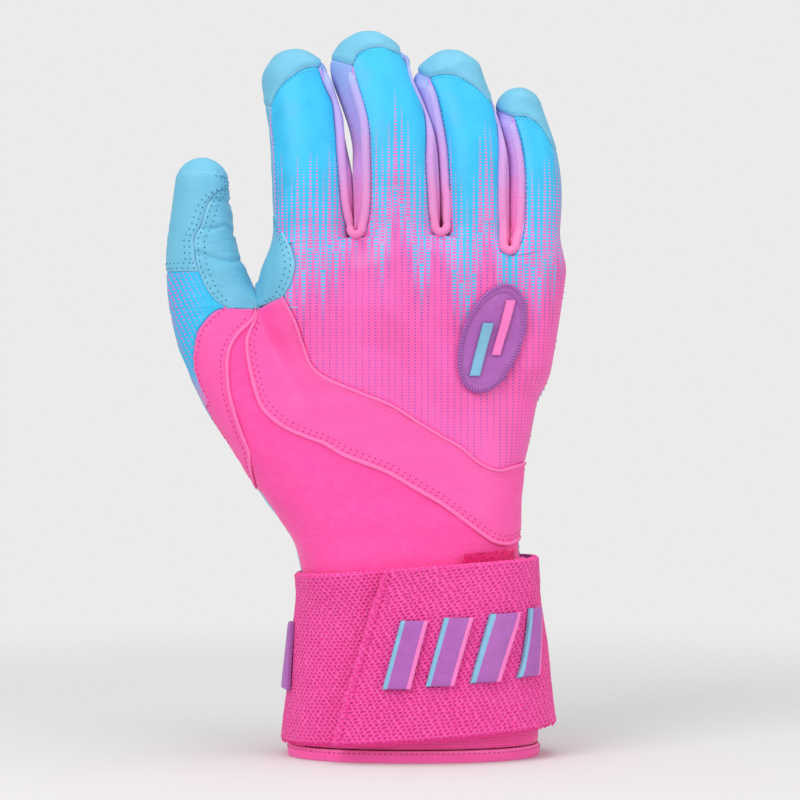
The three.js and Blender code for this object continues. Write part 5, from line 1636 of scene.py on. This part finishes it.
# The folded edge of the walls runs round the foot of each slit in a U, half of it with each finger
RIM_RADIUS, FOOT_RADIUS = 1.45 * mm, 3.5 * mm
for number, (x, z) in enumerate(CROTCHES):
    for side, name in ((-1, FINGERS[number]), (1, FINGERS[number + 1])):
        edge = finger_backs[name].skin[:, -1 if side < 0 else 0]
        turn = np.radians(np.linspace(-8, 90, 24))
        reach = FOOT_RADIUS - RIM_RADIUS
        height = np.linspace(z + FOOT_RADIUS, edge[-1, 2] - 0.5 * mm, 90)[1:]
        edge_x = np.interp(height, edge[:, 2], edge[:, 0])
        slit = slit_at(LIMBS[FINGERS[number]], LIMBS[FINGERS[number + 1]], height)
        room = np.abs(edge_x - slit)
        slim = np.clip((room + 0.25 * mm) / 2, 0.6 * mm, RIM_RADIUS)
        beside = edge_x - side * np.minimum(1.2 * mm, room - slim - 0.08 * mm)
        arm = x + side * np.maximum(side * (beside - x), reach)
        arm = np.where(height > z + 15 * mm, beside, arm)
        line_x = np.concatenate([x + side * reach * np.sin(turn), arm])
        line_z = np.concatenate([z + FOOT_RADIUS - reach * np.cos(turn), height])
        foot_x = x + side * FOOT_RADIUS * np.sin(turn)
        foot_z = z + FOOT_RADIUS * (1 - np.cos(turn))
        foot = hand_skin(foot_x, foot_z)[0][:, 1]
        outer_x = np.concatenate([[foot_x[-1]], arm + side * slim])
        rays = hand_rays(outer_x, np.concatenate([[foot_z[-1]], height]), -1)
        beyond = skin_points(finger_form(name), *rays)[:, 1]
        near = smoothstep(line_z[len(turn) - 1:], z + FOOT_RADIUS, z + FOOT_RADIUS + 9 * mm)
        beyond = skin_points(hand_form, *rays)[:, 1] * (1 - near) + beyond * near
        line = np.stack([line_x, np.concatenate([foot, beyond[1:]]), line_z], 1)
        slim = np.concatenate([np.full(len(turn), RIM_RADIUS), slim])
        old = lengths(line)
        line = resample(line, np.linspace(0, 1, 150))
        for _ in range(12):
            line[1:-1] = (line[:-2] + 2 * line[1:-1] + line[2:]) / 4
        along = lengths(line)
        fade = smoothstep(along / along[-1], 0.9, 1)
        line[:, 1] += 0.6 * mm + 1.6 * mm * fade
        radius = np.interp(along / along[-1], old / old[-1], slim) * (1 - 0.6 * fade)
        points, faces = tube_mesh(line, radius, 16, np.tile([0.0, -1.0, 0.0], (len(line), 1)))
        around = np.tile(np.arange(16) * 2 * math.pi / 16 * RIM_RADIUS, len(line))
        cloth = np.stack([around, np.repeat(z + along, 16), 0 * around], 1)
        rim = new_object(f"slit_rim_{number + 1}_{name}", points, faces.tolist(), (),
                         {"cloth": cloth / mm, "place": points / mm})
        add(rim, name, RIM, blend=FINGER_BLENDS[name])


# The thumb: the print on its outer side, the smooth leather over its back and tip, and the
# creased leather on its inner side. The leather's lower edge on its back and the seam below its
# tip are one table of (degrees round the thumb, share of the glove's length).
THUMB_EDGE = np.array([(-150, 0.667), (-12, 0.667), (-10, 0.717), (0, 0.733), (12, 0.758),
                       (90, 0.79), (150, 0.79), (208, 0.785), (210, 0.667)])
thumb = Limb("thumb", thumb_form, THUMB_ROOT)
THUMB_FOLD = [(220, 175), (229, 184), (216, 193), (207, 206), (201, 224), (194, 237), (194, 248),
              (196, 264), (201, 278), (207, 290), (216, 301), (226, 307)]


def thumb_s(share):
    return share * GLOVE_LENGTH - thumb.end[1]


fold = thumb.find(THUMB_FOLD)[::-1]
fold = thumb.unchart_line(even(curve(thumb.chart(fold), 60)))
fold = fold[fold[:, 1] > thumb.foot]
fold_low = fold[0].copy()
fold_low[1] = thumb.foot
fold = np.vstack([fold_low, fold])
HEM_S = thumb_s(0.667)
at_hem = np.array([np.interp(HEM_S, fold[:, 1], fold[:, 0]), HEM_S])
fold_above = np.vstack([at_hem, fold[fold[:, 1] > HEM_S + 0.3 * mm]])
fold_below = np.vstack([fold[fold[:, 1] < HEM_S - 0.3 * mm], at_hem])
FIRST, LAST = -150.0, 210.0
fold_top = fold_above[-1]

# The print round the outer side, up to the leather's hem
lower = np.array([(a, thumb.foot) for a in np.linspace(FIRST, fold_low[0], 60)])
upper = np.array([(a, HEM_S) for a in np.linspace(FIRST, at_hem[0], 60)])
left = np.array([(FIRST, s) for s in np.linspace(thumb.foot, HEM_S, 30)])
skin, out = thumb.grid(lower, upper, left, fold_below, 0.7 * mm)
outer_print = Patch(skin, out, PANEL_WALL, rolled="right", detail=wrinkles(0.12 * mm, 10 * mm, 13))
add(shell_object("thumb_print_upper", [outer_print]), "thumb", THUMB_PRINT,
    ["thumb_print_top"], THUMB_JOIN)


def fine_creases(patch):
    """Close level creases, as soft leather has where it bends, and puckers at the seams."""
    place = patch.skin
    turn = ripple(place, 9 * mm, 51)
    level = place[..., 2] + 0.7 * mm * turn + 0.12 * place[..., 0]
    creases = np.abs(np.sin(level / mm * 2.1 + 1.3 * ripple(place, 5 * mm, 53)))
    height = 0.26 * mm * (creases ** 0.7 - 0.6)
    height = height * (0.55 + 0.45 * np.clip(ripple(place, 7 * mm, 57), -1, 1))
    for z in (166.5, 157.0, 176.0):
        height = height - 0.6 * mm * np.exp(-((level / mm - z) / 0.9) ** 2)
    return height + 0.25 * mm * ripple(place, 6 * mm, 59, (1.6, 1, 1))


# The inner side's leather ends in a seam below the tip
inner_top = np.array([(a, thumb_s(np.interp(a, THUMB_EDGE[:, 0], THUMB_EDGE[:, 1])) - 0.2 * mm)
                      for a in np.linspace(fold_top[0], LAST, 80)])
inner_top[:, 1] = np.maximum(inner_top[:, 1], np.linspace(fold_top[1], fold_top[1] - 4 * mm, 80))
inner_top[0] = fold_top
inner_top = even(inner_top, np.linspace(0, 1, 80))
lower = np.array([(a, thumb.foot) for a in np.linspace(fold_low[0], LAST, 80)])
right = np.array([(LAST, s) for s in np.linspace(thumb.foot, inner_top[-1, 1], 40)])
skin, out = thumb.grid(lower, inner_top, fold, right, 0.45 * mm)
inner = Patch(skin, out, LEATHER_WALL, rolled="left upper right", detail=fine_creases,
              rows_at=[("left", 1.4 * mm), ("left", 3.6 * mm)])
add(shell_object("thumb_inner_creased", [inner]), "thumb", CREASED_LEATHER,
    ["thumb_inner_leather"], THUMB_JOIN)
for away, shift in ((1.4 * mm, 0), (3.6 * mm, 0.9)):
    stitch(BLUE_THREAD, "thumb", inner.along("left", away, 0.05, 0.97), 1.9, 0.6, 0.17, shift=shift,
           blend=THUMB_JOIN)

# The outer leather: a hemmed skirt, and the cap over the tip
outer_left = np.array([(FIRST, s) for s in np.linspace(HEM_S, fold_top[1], 40)])
columns = np.linspace(0, 1, 90)
rows = stations(fold_top[1] - HEM_S, 0.7 * mm)
lefts = resample(thumb.chart(outer_left), rows)
rights = resample(thumb.chart(fold_above), rows)
flat = lefts[:, None] + (rights - lefts)[:, None] * columns[None, :, None]
skin, out = thumb.skin(*thumb.unchart(flat))
outer_skirt = Patch(skin, out, LEATHER_WALL, rise=0.3 * mm, rolled="lower right",
                    rows_at=[("lower", 1.2 * mm), ("lower", 3.0 * mm)],
                    detail=wrinkles(0.14 * mm, 14 * mm, 61, (1, 1, 2), "right lower", 3.5 * mm, 0.1 * mm))
top_turns = thumb.unchart(flat)[0][-1]
ring_turns = np.concatenate([top_turns[:-1], inner_top[:, 0]])
ring_tops = np.concatenate([np.full(len(columns) - 1, fold_top[1]), inner_top[:, 1]])
cap_rows = np.linspace(0, 1, 26)
up = ring_tops[None] + (thumb.pole - ring_tops)[None] * cap_rows[:, None]
skin, out = thumb.skin(ring_turns[None], up)
skin[-1] = skin[-1].mean(0)


def thumb_cap_detail(patch):
    away = patch.distances["lower"]
    free = np.zeros(patch.skin.shape[1])
    free[len(columns):] = 1
    fade = np.minimum(1, np.abs(np.arange(len(free)) - len(columns)) / 8) * free
    roll = ROLL_DEPTH * np.clip(1 - away / ROLL_WIDTH, 0, 1) ** 2
    soft = 0.14 * mm * ripple(patch.skin, 14 * mm, 61, (1, 1, 2))
    base = 0.3 * mm - roll * fade[None]
    near_fold = np.exp(-((np.arange(len(free)) - len(columns) + 1) / 2.0) ** 2)[None]
    return base + soft - 0.5 * mm * near_fold * np.exp(-(away / (1.5 * mm)) ** 2)


thumb_cap = Patch(skin, out, LEATHER_WALL, detail=thumb_cap_detail)
add(shell_object("thumb_outer_leather", [outer_skirt, thumb_cap]), "thumb", BLUE_LEATHER,
    ["thumb_back_leather"], THUMB_JOIN)
for away, shift in ((1.2 * mm, 0), (3.0 * mm, 0.9)):
    stitch(BLUE_THREAD, "thumb", outer_skirt.along("lower", away, 0.2, 0.98), 1.9, 0.6, 0.17,
           shift=shift, blend=THUMB_JOIN)
for away in (1.4 * mm, 3.2 * mm):
    stitch(BLUE_THREAD, "thumb", outer_skirt.along("right", away, 0.08, 0.98), 1.9, 0.6, 0.17,
           blend=THUMB_JOIN)


# The cuff. A ring's ray goes with a share of the way round: the back from left to right, the
# right turn, the palm from right to left and the left turn. The first three end at these shares,
# and either turn takes the last of them.
BACK_DONE, RIGHT_DONE, PALM_DONE, TURN_SHARE = 0.3, 0.5, 0.8, 0.2


def ring_ray(share, height):
    at = share - np.floor(share)
    left, right, left_y, right_y = middle_line(height)
    turn = math.pi * EDGE_INSET
    chart = np.select(
        [at <= BACK_DONE, at < RIGHT_DONE, at <= PALM_DONE],
        [left + (right - left) * at / BACK_DONE, right + turn * (at - BACK_DONE) / TURN_SHARE,
         right - (right - left) * (at - RIGHT_DONE) / BACK_DONE],
        left - turn * (at - PALM_DONE) / TURN_SHARE)
    last_turn = at > PALM_DONE
    side = np.where((at < RIGHT_DONE) | last_turn, -1, 1)
    inside = np.clip(chart, left, right)
    angle = np.abs(chart - inside) / EDGE_INSET
    angle = np.where(last_turn, math.pi - (at - PALM_DONE) / TURN_SHARE * math.pi, angle)
    f = (inside - left) / (right - left)
    origins = np.stack([inside, left_y + f * (right_y - left_y), height + 0 * inside], -1)
    out = np.sin(angle) * np.where(last_turn, -1, np.sign(chart - inside))
    return origins, np.stack([out, side * np.cos(angle), 0 * out], -1)


def tilt_rise(x, z):
    """How much the strap's level rises at x: it lies tilted across the glove."""
    left, right, _, _ = middle_line(z)
    return math.tan(STRAP_TILT) * np.clip(x, left - EDGE_INSET, right + EDGE_INSET)


def ring_skin(shares, heights, tilted):
    """Skin points of a ring or a length of one, as a grid of heights by shares."""
    shares, heights = np.broadcast_arrays(shares[None], heights[:, None])
    origins, directions = ring_ray(shares, heights)
    if tilted:
        rise = tilt_rise(origins[..., 0] + directions[..., 0] * EDGE_INSET, heights)
        origins, directions = ring_ray(shares, heights + rise)
    return skin_points(hand_form, origins, directions), directions


def ring_object(name, skin, outward, low, high, detail):
    """A closed ring, welded where its last column meets its first."""
    patch = Patch(skin, outward, high - low, base=high, rolled="lower upper", roll=0.4 * mm,
                  detail=detail, ring=True)
    return patch, shell_object(name, [patch])


ring_shares = np.linspace(0, 1, 361)
hem_rows = np.concatenate([np.linspace(0, 0.9, 5)[:-1], np.linspace(0.9, 3.2, 6)[:-1],
                           np.linspace(3.2, 4, 5)]) * mm
skin, out = ring_skin(ring_shares, hem_rows, False)
hem_patch, hem_object = ring_object("cuff_hem_band", skin, out, HEM_RISE - HEM_WALL, HEM_RISE,
                                    wrinkles(0.1 * mm, 7 * mm, 71, (1, 1, 1)))
add(hem_object, "hand", HEM_FABRIC, ["cuff_hem"])
stitch(DEEP_THREAD, "hand", hem_patch.along("upper", 1.0 * mm), 1.7, 0.9, 0.17)
sleeve_rows = np.linspace(HEM_HEIGHT + 0.36 * mm, CUFF_TOP - 0.36 * mm, 60)
skin, out = ring_skin(ring_shares, sleeve_rows, False)
_, sleeve_object = ring_object("cuff_sleeve_knit", skin, out, -KNIT_WALL, 0.0,
                               wrinkles(0.1 * mm, 9 * mm, 73))
add(sleeve_object, "hand", SLEEVE_KNIT, ["cuff_sleeve"])


# The strap
STRAP_START, CORNER, CLIMB_END = 0.38, 0.4532, -0.5956  # shares of the way round
strap_rows = stations(STRAP_WIDTH, 0.85 * mm, 0.3 * mm, 2.2 * mm)
strap_heights = STRAP_BOTTOM + strap_rows * STRAP_WIDTH


def strap_cloth(patch):
    along = patch.distances["left"]
    low, high = patch.distances["lower"], patch.distances["upper"]
    return np.stack([along, low, np.minimum(low, high)], -1)


def strap_detail(seed):
    """The strap's soft folds, its thinner selvedges and the uneven lower edge."""
    def detail(patch):
        low, high = patch.distances["lower"], patch.distances["upper"]
        edge = np.minimum(low, high)
        height = 0.3 * mm * ripple(patch.skin, 26 * mm, seed, (1.2, 1, 1))
        height = height + 0.1 * mm * ripple(patch.skin, 6 * mm, seed + 1)
        roll = np.clip(1 - edge / (1.1 * mm), 0, 1)
        return height - 0.8 * mm * roll**2 + 0.12 * mm * np.exp(-((edge - 0.9 * mm) / (0.5 * mm)) ** 2)
    return detail


band_shares = np.linspace(STRAP_START, CORNER - 1, 330)
progress = (STRAP_START - band_shares) / (STRAP_START - CLIMB_END)
skin, out = ring_skin(band_shares, strap_heights, True)
under = LAYER_GAP + smoothstep(progress, *CLIMB_SHARES) * (FLAP_LAYER - LAYER_GAP)
strap_base = np.broadcast_to(under[None] + STRAP_WALL, skin.shape[:2])
strap_patch = Patch(skin, out, STRAP_WALL, base=strap_base, cloth=strap_cloth, detail=strap_detail(81),
                    rolled="left", roll=0.8 * mm)
add(shell_object("strap_ring", [strap_patch]), "hand", STRAP, ["strap_band"])


def along_skin(x, z):
    """A chart place at a length over the skin past the hand's right end."""
    _, right, _, _ = middle_line(z)
    return np.where(x <= right, x, right + (x - right) * EDGE_INSET / CORNER_RADIUS)


def skin_at(x, z):
    """Skin points at places on the back and round its right edge."""
    return hand_skin(along_skin(x, z), z)


def flap_end(z):
    """The slanted free end of the flap."""
    return (-0.27 + 0.157 * (z - STRAP_BOTTOM) / STRAP_WIDTH) * KNUCKLE_WIDTH


def right_end(z):
    return middle_line(z)[1]


def patch_skin(start, end, columns, heights):
    """Skin points between two lines across the strap, given by height."""
    heights = np.broadcast_to(heights[:, None], (len(heights), len(columns)))
    x = start(heights) + (end(heights) - start(heights)) * columns[None]
    z = heights + tilt_rise(x, heights)
    x = start(z) + (end(z) - start(z)) * columns[None]
    return skin_at(x, z)


def flap_skin(columns, heights):
    """The flap runs from its free end, round the hand's right edge, to the strap on the palm."""
    heights = np.broadcast_to(heights[:, None], (len(heights), len(columns)))
    left, right, _, _ = middle_line(heights)
    start = BACK_DONE * (flap_end(heights) - left) / (right - left)
    shares = start + (CORNER - start) * columns[None]
    origins, directions = ring_ray(shares, heights)
    rise = tilt_rise(origins[..., 0] + directions[..., 0] * EDGE_INSET, heights)
    origins, directions = ring_ray(shares, heights + rise)
    return skin_points(hand_form, origins, directions), directions


HINGE_X, HINGE_Z = 64.1 * mm, 38.1 * mm
FLAP_JOIN = (("hand", "flap"), (HINGE_X, 8 * mm, HINGE_Z), (HINGE_X, -3 * mm, HINGE_Z))
skin, out = flap_skin(stations(120 * mm, 0.8 * mm, 0.3 * mm, 2.5 * mm), strap_heights)


def flap_detail(patch):
    """The free end is a smooth raised fold with a row of needle holes beside it."""
    away = patch.distances["left"]
    fold_up = 0.6 * mm * smoothstep(-away, -2.2 * mm, -1.3 * mm)
    groove = -0.35 * mm * np.exp(-((away - 2.6 * mm) / (0.45 * mm)) ** 2)
    roll = np.clip(1 - away / (1.0 * mm), 0, 1)
    return strap_detail(83)(patch) + fold_up + groove - 1.1 * mm * roll**2


def flap_cloth(patch):
    """The weave stops at the folded end, as at a selvedge."""
    cloth = strap_cloth(patch)
    cloth[..., 2] = np.minimum(cloth[..., 2], np.maximum(patch.distances["left"] - 1.4 * mm, 0))
    return cloth


flap_patch = Patch(skin, out, STRAP_WALL, base=FLAP_LAYER + STRAP_WALL, cloth=flap_cloth,
                   detail=flap_detail)
add(shell_object("strap_flap_end", [flap_patch]), "flap", STRAP, ["strap_flap"], FLAP_JOIN)
stitch(DEEP_THREAD, "flap", flap_patch.along("left", 2.6 * mm, 0.03, 0.97), 1.7, 0.8, 0.22, lift=0.1)


def fringe(line, normals, seed, down, body, join=None):
    """Short loops of thread that stand out of the strap's cut lower edge."""
    random = np.random.default_rng(seed)
    along = lengths(line)
    count = int(along[-1] / (1.15 * mm))
    groups = []
    for at in np.linspace(1 * mm, along[-1] - 1 * mm, count):
        at += random.uniform(-0.4, 0.4) * mm
        width, drop = random.uniform(0.5, 1.1) * mm, random.uniform(0.35, 1.0) * mm
        steps = np.linspace(0, math.pi, 8)
        where = at + np.cos(steps) * width * random.choice([-1, 1])
        base = np.stack([np.interp(where, along, line[:, k]) for k in range(3)], -1)
        normal = np.stack([np.interp(where, along, normals[:, k]) for k in range(3)], -1)
        loop = base + np.sin(steps)[:, None] * drop * down
        loop += normal * (random.uniform(-0.5, 0.2) * mm)
        groups.append(tube_mesh(loop, 0.15 * mm, 5, normal))
    keep_threads(STRAP_THREAD, body, groups, join)


down = np.array([0, 0, -1.0])
edge_line, edge_normals = flap_patch.along("lower", 0.35 * mm, 0.02, 0.98)
fringe(edge_line, edge_normals, 5, down, "flap", FLAP_JOIN)
edge_line, edge_normals = strap_patch.along("lower", 0.35 * mm, 0.02, 0.98)
fringe(edge_line, edge_normals, 6, down, "hand")


# The fasteners between the strap and its flap
def layer_object(name, start, end, low, high, under, thick, material, node, body, detail=None):
    heights = low + stations(high - low, 0.8 * mm) * (high - low)
    columns = stations(float(np.mean(end(heights) - start(heights))), 0.8 * mm)
    skin, out = patch_skin(start, end, columns, heights)
    patch = Patch(skin, out, thick, base=under + thick, rolled="lower upper left right", detail=detail,
                  roll=thick * 0.5)
    return add(shell_object(name, [patch]), body, material, [node]), patch


layer_object("hook_fastener", lambda z: flap_end(z) + 3 * mm, lambda z: flap_end(z) + 21 * mm,
             STRAP_BOTTOM + 3 * mm, STRAP_TOP - 3 * mm, FASTENER_LAYER, FASTENER_WALL, HOOK_TAPE,
             "hook_pad", "flap", wrinkles(0.04 * mm, 2 * mm, 85))
_, loop_patch = layer_object(
    "loop_fastener", lambda z: flap_end(z) + 24 * mm, lambda z: right_end(z) + 6.4 * mm,
    STRAP_BOTTOM + 3 * mm, STRAP_TOP + 3.2 * mm, FASTENER_LAYER, FASTENER_WALL, LOOP_TAPE,
    "loop_patch", "hand", wrinkles(0.12 * mm, 2.2 * mm, 87))
edge_line, edge_normals = loop_patch.along("upper", 0.3 * mm, 0.02, 0.98)
fuzz = np.random.default_rng(9)
loops = []
share = lengths(edge_line) / lengths(edge_line)[-1]
for at in fuzz.uniform(0.02, 0.98, 260):
    base = np.array([np.interp(at, share, edge_line[:, k]) for k in range(3)])
    normal = np.array([np.interp(at, share, edge_normals[:, k]) for k in range(3)])
    side = np.cross(normal, [0, 0, 1.0])
    steps = np.linspace(0, math.pi, 6)
    rise, width = fuzz.uniform(0.2, 0.8) * mm, fuzz.uniform(-0.5, 0.5) * mm
    base = base - np.array([0, 0, fuzz.uniform(0, 1.6) * mm]) + normal * fuzz.uniform(-0.7, 0.2) * mm
    loop = (base + np.sin(steps)[:, None] * np.array([0, 0, rise]) + np.cos(steps)[:, None] * side * width
            + np.sin(steps)[:, None] * normal * fuzz.uniform(-0.2, 0.4) * mm)
    loops.append(tube_mesh(loop, 0.07 * mm, 4))
keep_threads(LOOP_THREAD, "hand", loops)


# The raised bars and the crest
def plate(name, skin, outward, under, thick, round_edge, material, nodes, body, dome=0.0):
    """A moulded plate on the cloth, with rounded edges and a slightly domed face."""
    patch = Patch(skin, outward, thick, base=under + thick)
    edge = np.min([patch.distances[key] for key in patch.distances], 0)
    turn = np.clip(1 - edge / round_edge, 0, 1)
    fall = round_edge * (1 - np.sqrt(np.maximum(1 - turn**2, 0))) * 0.9
    rise = dome * smoothstep(edge, 0, 4 * round_edge)
    patch.outer = patch.skin + patch.normals * (under + thick - fall + rise)[..., None]
    # The rubber's painted shade darkens the plate near these edges
    patch.edge = edge
    return add(shell_object(name, [patch]), body, material, nodes), patch


BAR_LEVEL = 35.5 * mm
BAR_LEAN = math.tan(math.radians(14))


def bar_skin(x, z, width, height, lean):
    across = stations(width, 0.5 * mm, 0.18 * mm, 0.9 * mm) - 0.5
    up = stations(height, 0.7 * mm, 0.18 * mm, 0.9 * mm) - 0.5
    rise = np.broadcast_to(up[:, None] * height, (len(up), len(across)))
    return skin_at(x + across[None] * width + lean * rise, z + rise)


def rounded_places(places):
    return [tuple(np.round(place, 2)) for place in places]


def bar(name, x, width, under, body, node, lean):
    """A purple bar with a blue left edge and, on a wide one, a pink right edge."""
    z = BAR_LEVEL + float(tilt_rise(np.array(x), np.array(BAR_LEVEL)))
    skin, out = bar_skin(x, z, width, 22 * mm, lean)
    patch_object, patch = plate(name, skin, out, under, 1.5 * mm, 0.6 * mm, PURPLE_RUBBER,
                                [node], body, 0.25 * mm)
    share = patch.distances["left"][0] / patch.distances["left"][0, -1]
    blue_until, pink_from = (0.2, 0.82) if width > 6 * mm else (0.28, 0.0)
    mesh = patch_object.data
    mesh.materials.append(BLUE_RUBBER)
    mesh.materials.append(PINK_RUBBER)
    values = np.zeros(len(mesh.vertices) * 3, np.float32)
    mesh.attributes["place"].data.foreach_get("vector", values)
    keys = rounded_places(values.reshape(-1, 3).astype(float))
    left_side = set(rounded_places(patch.skin[:, share <= blue_until + 0.001].reshape(-1, 3) / mm))
    right_side = set(rounded_places(patch.skin[:, share >= pink_from - 0.001].reshape(-1, 3) / mm))
    for polygon in mesh.polygons:
        corners = [keys[k] for k in polygon.vertices]
        if all(c in left_side for c in corners):
            polygon.material_index = 1
        elif pink_from and all(c in right_side for c in corners):
            polygon.material_index = 2


first_x = float(flap_end(np.array(BAR_LEVEL))) + 10.3 * mm + 4.25 * mm
for number in range(4):
    bar(f"flap_bar_raised_{number + 1}", first_x + number * 13 * mm, 8.5 * mm,
        FLAP_LAYER + STRAP_WALL + LAYER_GAP, "flap", f"flap_bar_{number + 1}", BAR_LEAN)
side_x = side_line(BAR_LEVEL, BAR_LEVEL, -1, 62)[0, 0]
bar("side_bar_raised", float(side_x), 5 * mm, LAYER_GAP + STRAP_WALL + LAYER_GAP, "hand", "side_bar", 0.0)

CREST_X, CREST_Z = 23.96 * mm, 137.8 * mm
CREST_HALF = (10.5 * mm, 18 * mm)
a = np.linspace(-1, 1, 61)[None]
b = np.linspace(-1, 1, 91)[:, None]
wide = a * np.sqrt(1 - b * b / 2) * CREST_HALF[0]
tall = b * np.sqrt(1 - a * a / 2) * CREST_HALF[1]
skin, out = skin_at(CREST_X + wide + BAR_LEAN * tall, CREST_Z + tall)
CREST_UNDER, CREST_WALL = LAYER_GAP + 0.36 * mm, 1.5 * mm
crest_patch = Patch(skin, out, CREST_WALL, base=CREST_UNDER + CREST_WALL)
radius = np.hypot(wide / CREST_HALF[0], tall / CREST_HALF[1])
inset = (1 - radius) * CREST_HALF[0]
round_off = 0.8 * mm * (1 - np.sqrt(np.maximum(1 - np.clip(1 - inset / (0.8 * mm), 0, 1) ** 2, 0)))
step_down = 0.35 * mm * smoothstep(inset, 1.5 * mm, 1.9 * mm)
crest_patch.outer = skin + crest_patch.normals * (CREST_UNDER + CREST_WALL - round_off - step_down)[..., None]
# The rubber's painted shade falls along the ring where the face steps down
crest_patch.edge = np.abs(inset - 1.7 * mm)
add(shell_object("crest_raised", [crest_patch]), "hand", PURPLE_RUBBER, ["crest_plate"])
for name, side, material, slot in (("left", -1, BLUE_RUBBER, "blue_rubber"),
                                   ("right", 1, PINK_RUBBER, "pink_rubber")):
    skin, out = bar_skin(CREST_X + side * 3.75 * mm, CREST_Z + side * 3.4 * mm, 3.4 * mm, 18 * mm, BAR_LEAN)
    plate(f"crest_{name}_raised_bar", skin, out, CREST_UNDER + CREST_WALL, 0.75 * mm, 0.35 * mm, material,
          [f"crest_bar_{name}"], "hand")
angles = np.linspace(0, 2 * math.pi, 240)
ring_x = np.cos(angles) * (CREST_HALF[0] - 0.8 * mm)
ring_z = np.sin(angles) * (CREST_HALF[1] - 0.9 * mm)
skin, out = skin_at(CREST_X + ring_x + BAR_LEAN * ring_z, CREST_Z + ring_z)
normals = form_normals(hand_form, skin)
stitch(PURPLE_THREAD, "hand", (skin + normals * (CREST_UNDER + CREST_WALL), normals), 1.0, 1.9, 0.3,
       lean=1.25)


# Threads, merged by colour and body
for number, ((material_name, body, blend), groups) in enumerate(threads.items()):
    name = f"stitches_{number}_{material_name}"
    add(merged_object(name, groups), body, bpy.data.materials[material_name], (), blend)

# The camera, the lights and the backdrop
camera_data = bpy.data.cameras.new("camera")
camera_data.sensor_width = 36
camera_data.lens = camera_data.sensor_width * CAMERA_DISTANCE / (2 * FRAME_CENTRE[0] * PIXEL)
camera = bpy.data.objects.new("camera", camera_data)
camera.location = (CAMERA_X + SHIFT[0], -CAMERA_DISTANCE + SHIFT[1], CAMERA_Z)
camera.rotation_euler = (math.pi / 2, 0, 0)
bpy.context.scene.collection.objects.link(camera)
bpy.context.scene.camera = camera


def area_light(name, place, target, size, watts):
    data = bpy.data.lights.new(name, "AREA")
    data.shape = "RECTANGLE"
    data.size, data.size_y = size
    data.energy = watts
    light = bpy.data.objects.new(name, data)
    light.location = place
    way = np.array(target) - np.array(place)
    flat = math.hypot(way[0], way[1])
    light.rotation_euler = (math.atan2(flat, -way[2]), 0, math.atan2(way[1], way[0]) - math.pi / 2)
    bpy.context.scene.collection.objects.link(light)


area_light("key", (-0.55, -0.75, 0.75), (0, 0, 0.12), (0.6, 0.6), 5.0)
area_light("fill", (0.75, -0.7, 0.4), (0, 0, 0.12), (0.7, 0.7), 2.3)
area_light("top", (0.1, -0.1, 0.95), (0, 0, 0.12), (0.7, 0.5), 2.3)


# A pale floor that fades out into the equally pale surroundings
bpy.ops.mesh.primitive_circle_add(vertices=96, radius=4, fill_type="NGON")
floor = bpy.context.object
floor.name = "floor"
shader = Shader("floor", roughness=0.9, specular=0.0)
shader.surface.inputs["Base Color"].default_value = srgb(228, 228, 228)
tree = shader.tree
place = tree.nodes.new("ShaderNodeNewGeometry").outputs["Position"]
away = tree.nodes.new("ShaderNodeVectorMath")
away.operation = "LENGTH"
tree.links.new(place, away.inputs[0])
clear = tree.nodes.new("ShaderNodeBsdfTransparent")
blend_node = tree.nodes.new("ShaderNodeMixShader")
shader.put(blend_node.inputs["Fac"], shader.remap(away.outputs["Value"], 0.16, 0.55))
tree.links.new(shader.surface.outputs[0], blend_node.inputs[1])
tree.links.new(clear.outputs[0], blend_node.inputs[2])
tree.links.new(blend_node.outputs[0], tree.nodes["Material Output"].inputs["Surface"])
floor.data.materials.append(shader.material)

world = bpy.data.worlds.new("world")
bpy.context.scene.world = world
world.use_nodes = True
nodes, links = world.node_tree.nodes, world.node_tree.links
soft = nodes["Background"]
soft.inputs["Color"].default_value = (1, 1, 1, 1)
soft.inputs["Strength"].default_value = 0.6
seen = nodes.new("ShaderNodeBackground")
seen.inputs["Color"].default_value = srgb(235, 235, 235)
seen.inputs["Strength"].default_value = 1.0
ray = nodes.new("ShaderNodeLightPath")
choice = nodes.new("ShaderNodeMixShader")
links.new(ray.outputs["Is Camera Ray"], choice.inputs["Fac"])
links.new(soft.outputs[0], choice.inputs[1])
links.new(seen.outputs[0], choice.inputs[2])
links.new(choice.outputs[0], nodes["World Output"].inputs["Surface"])
bpy.context.scene.view_settings.view_transform = "Standard"
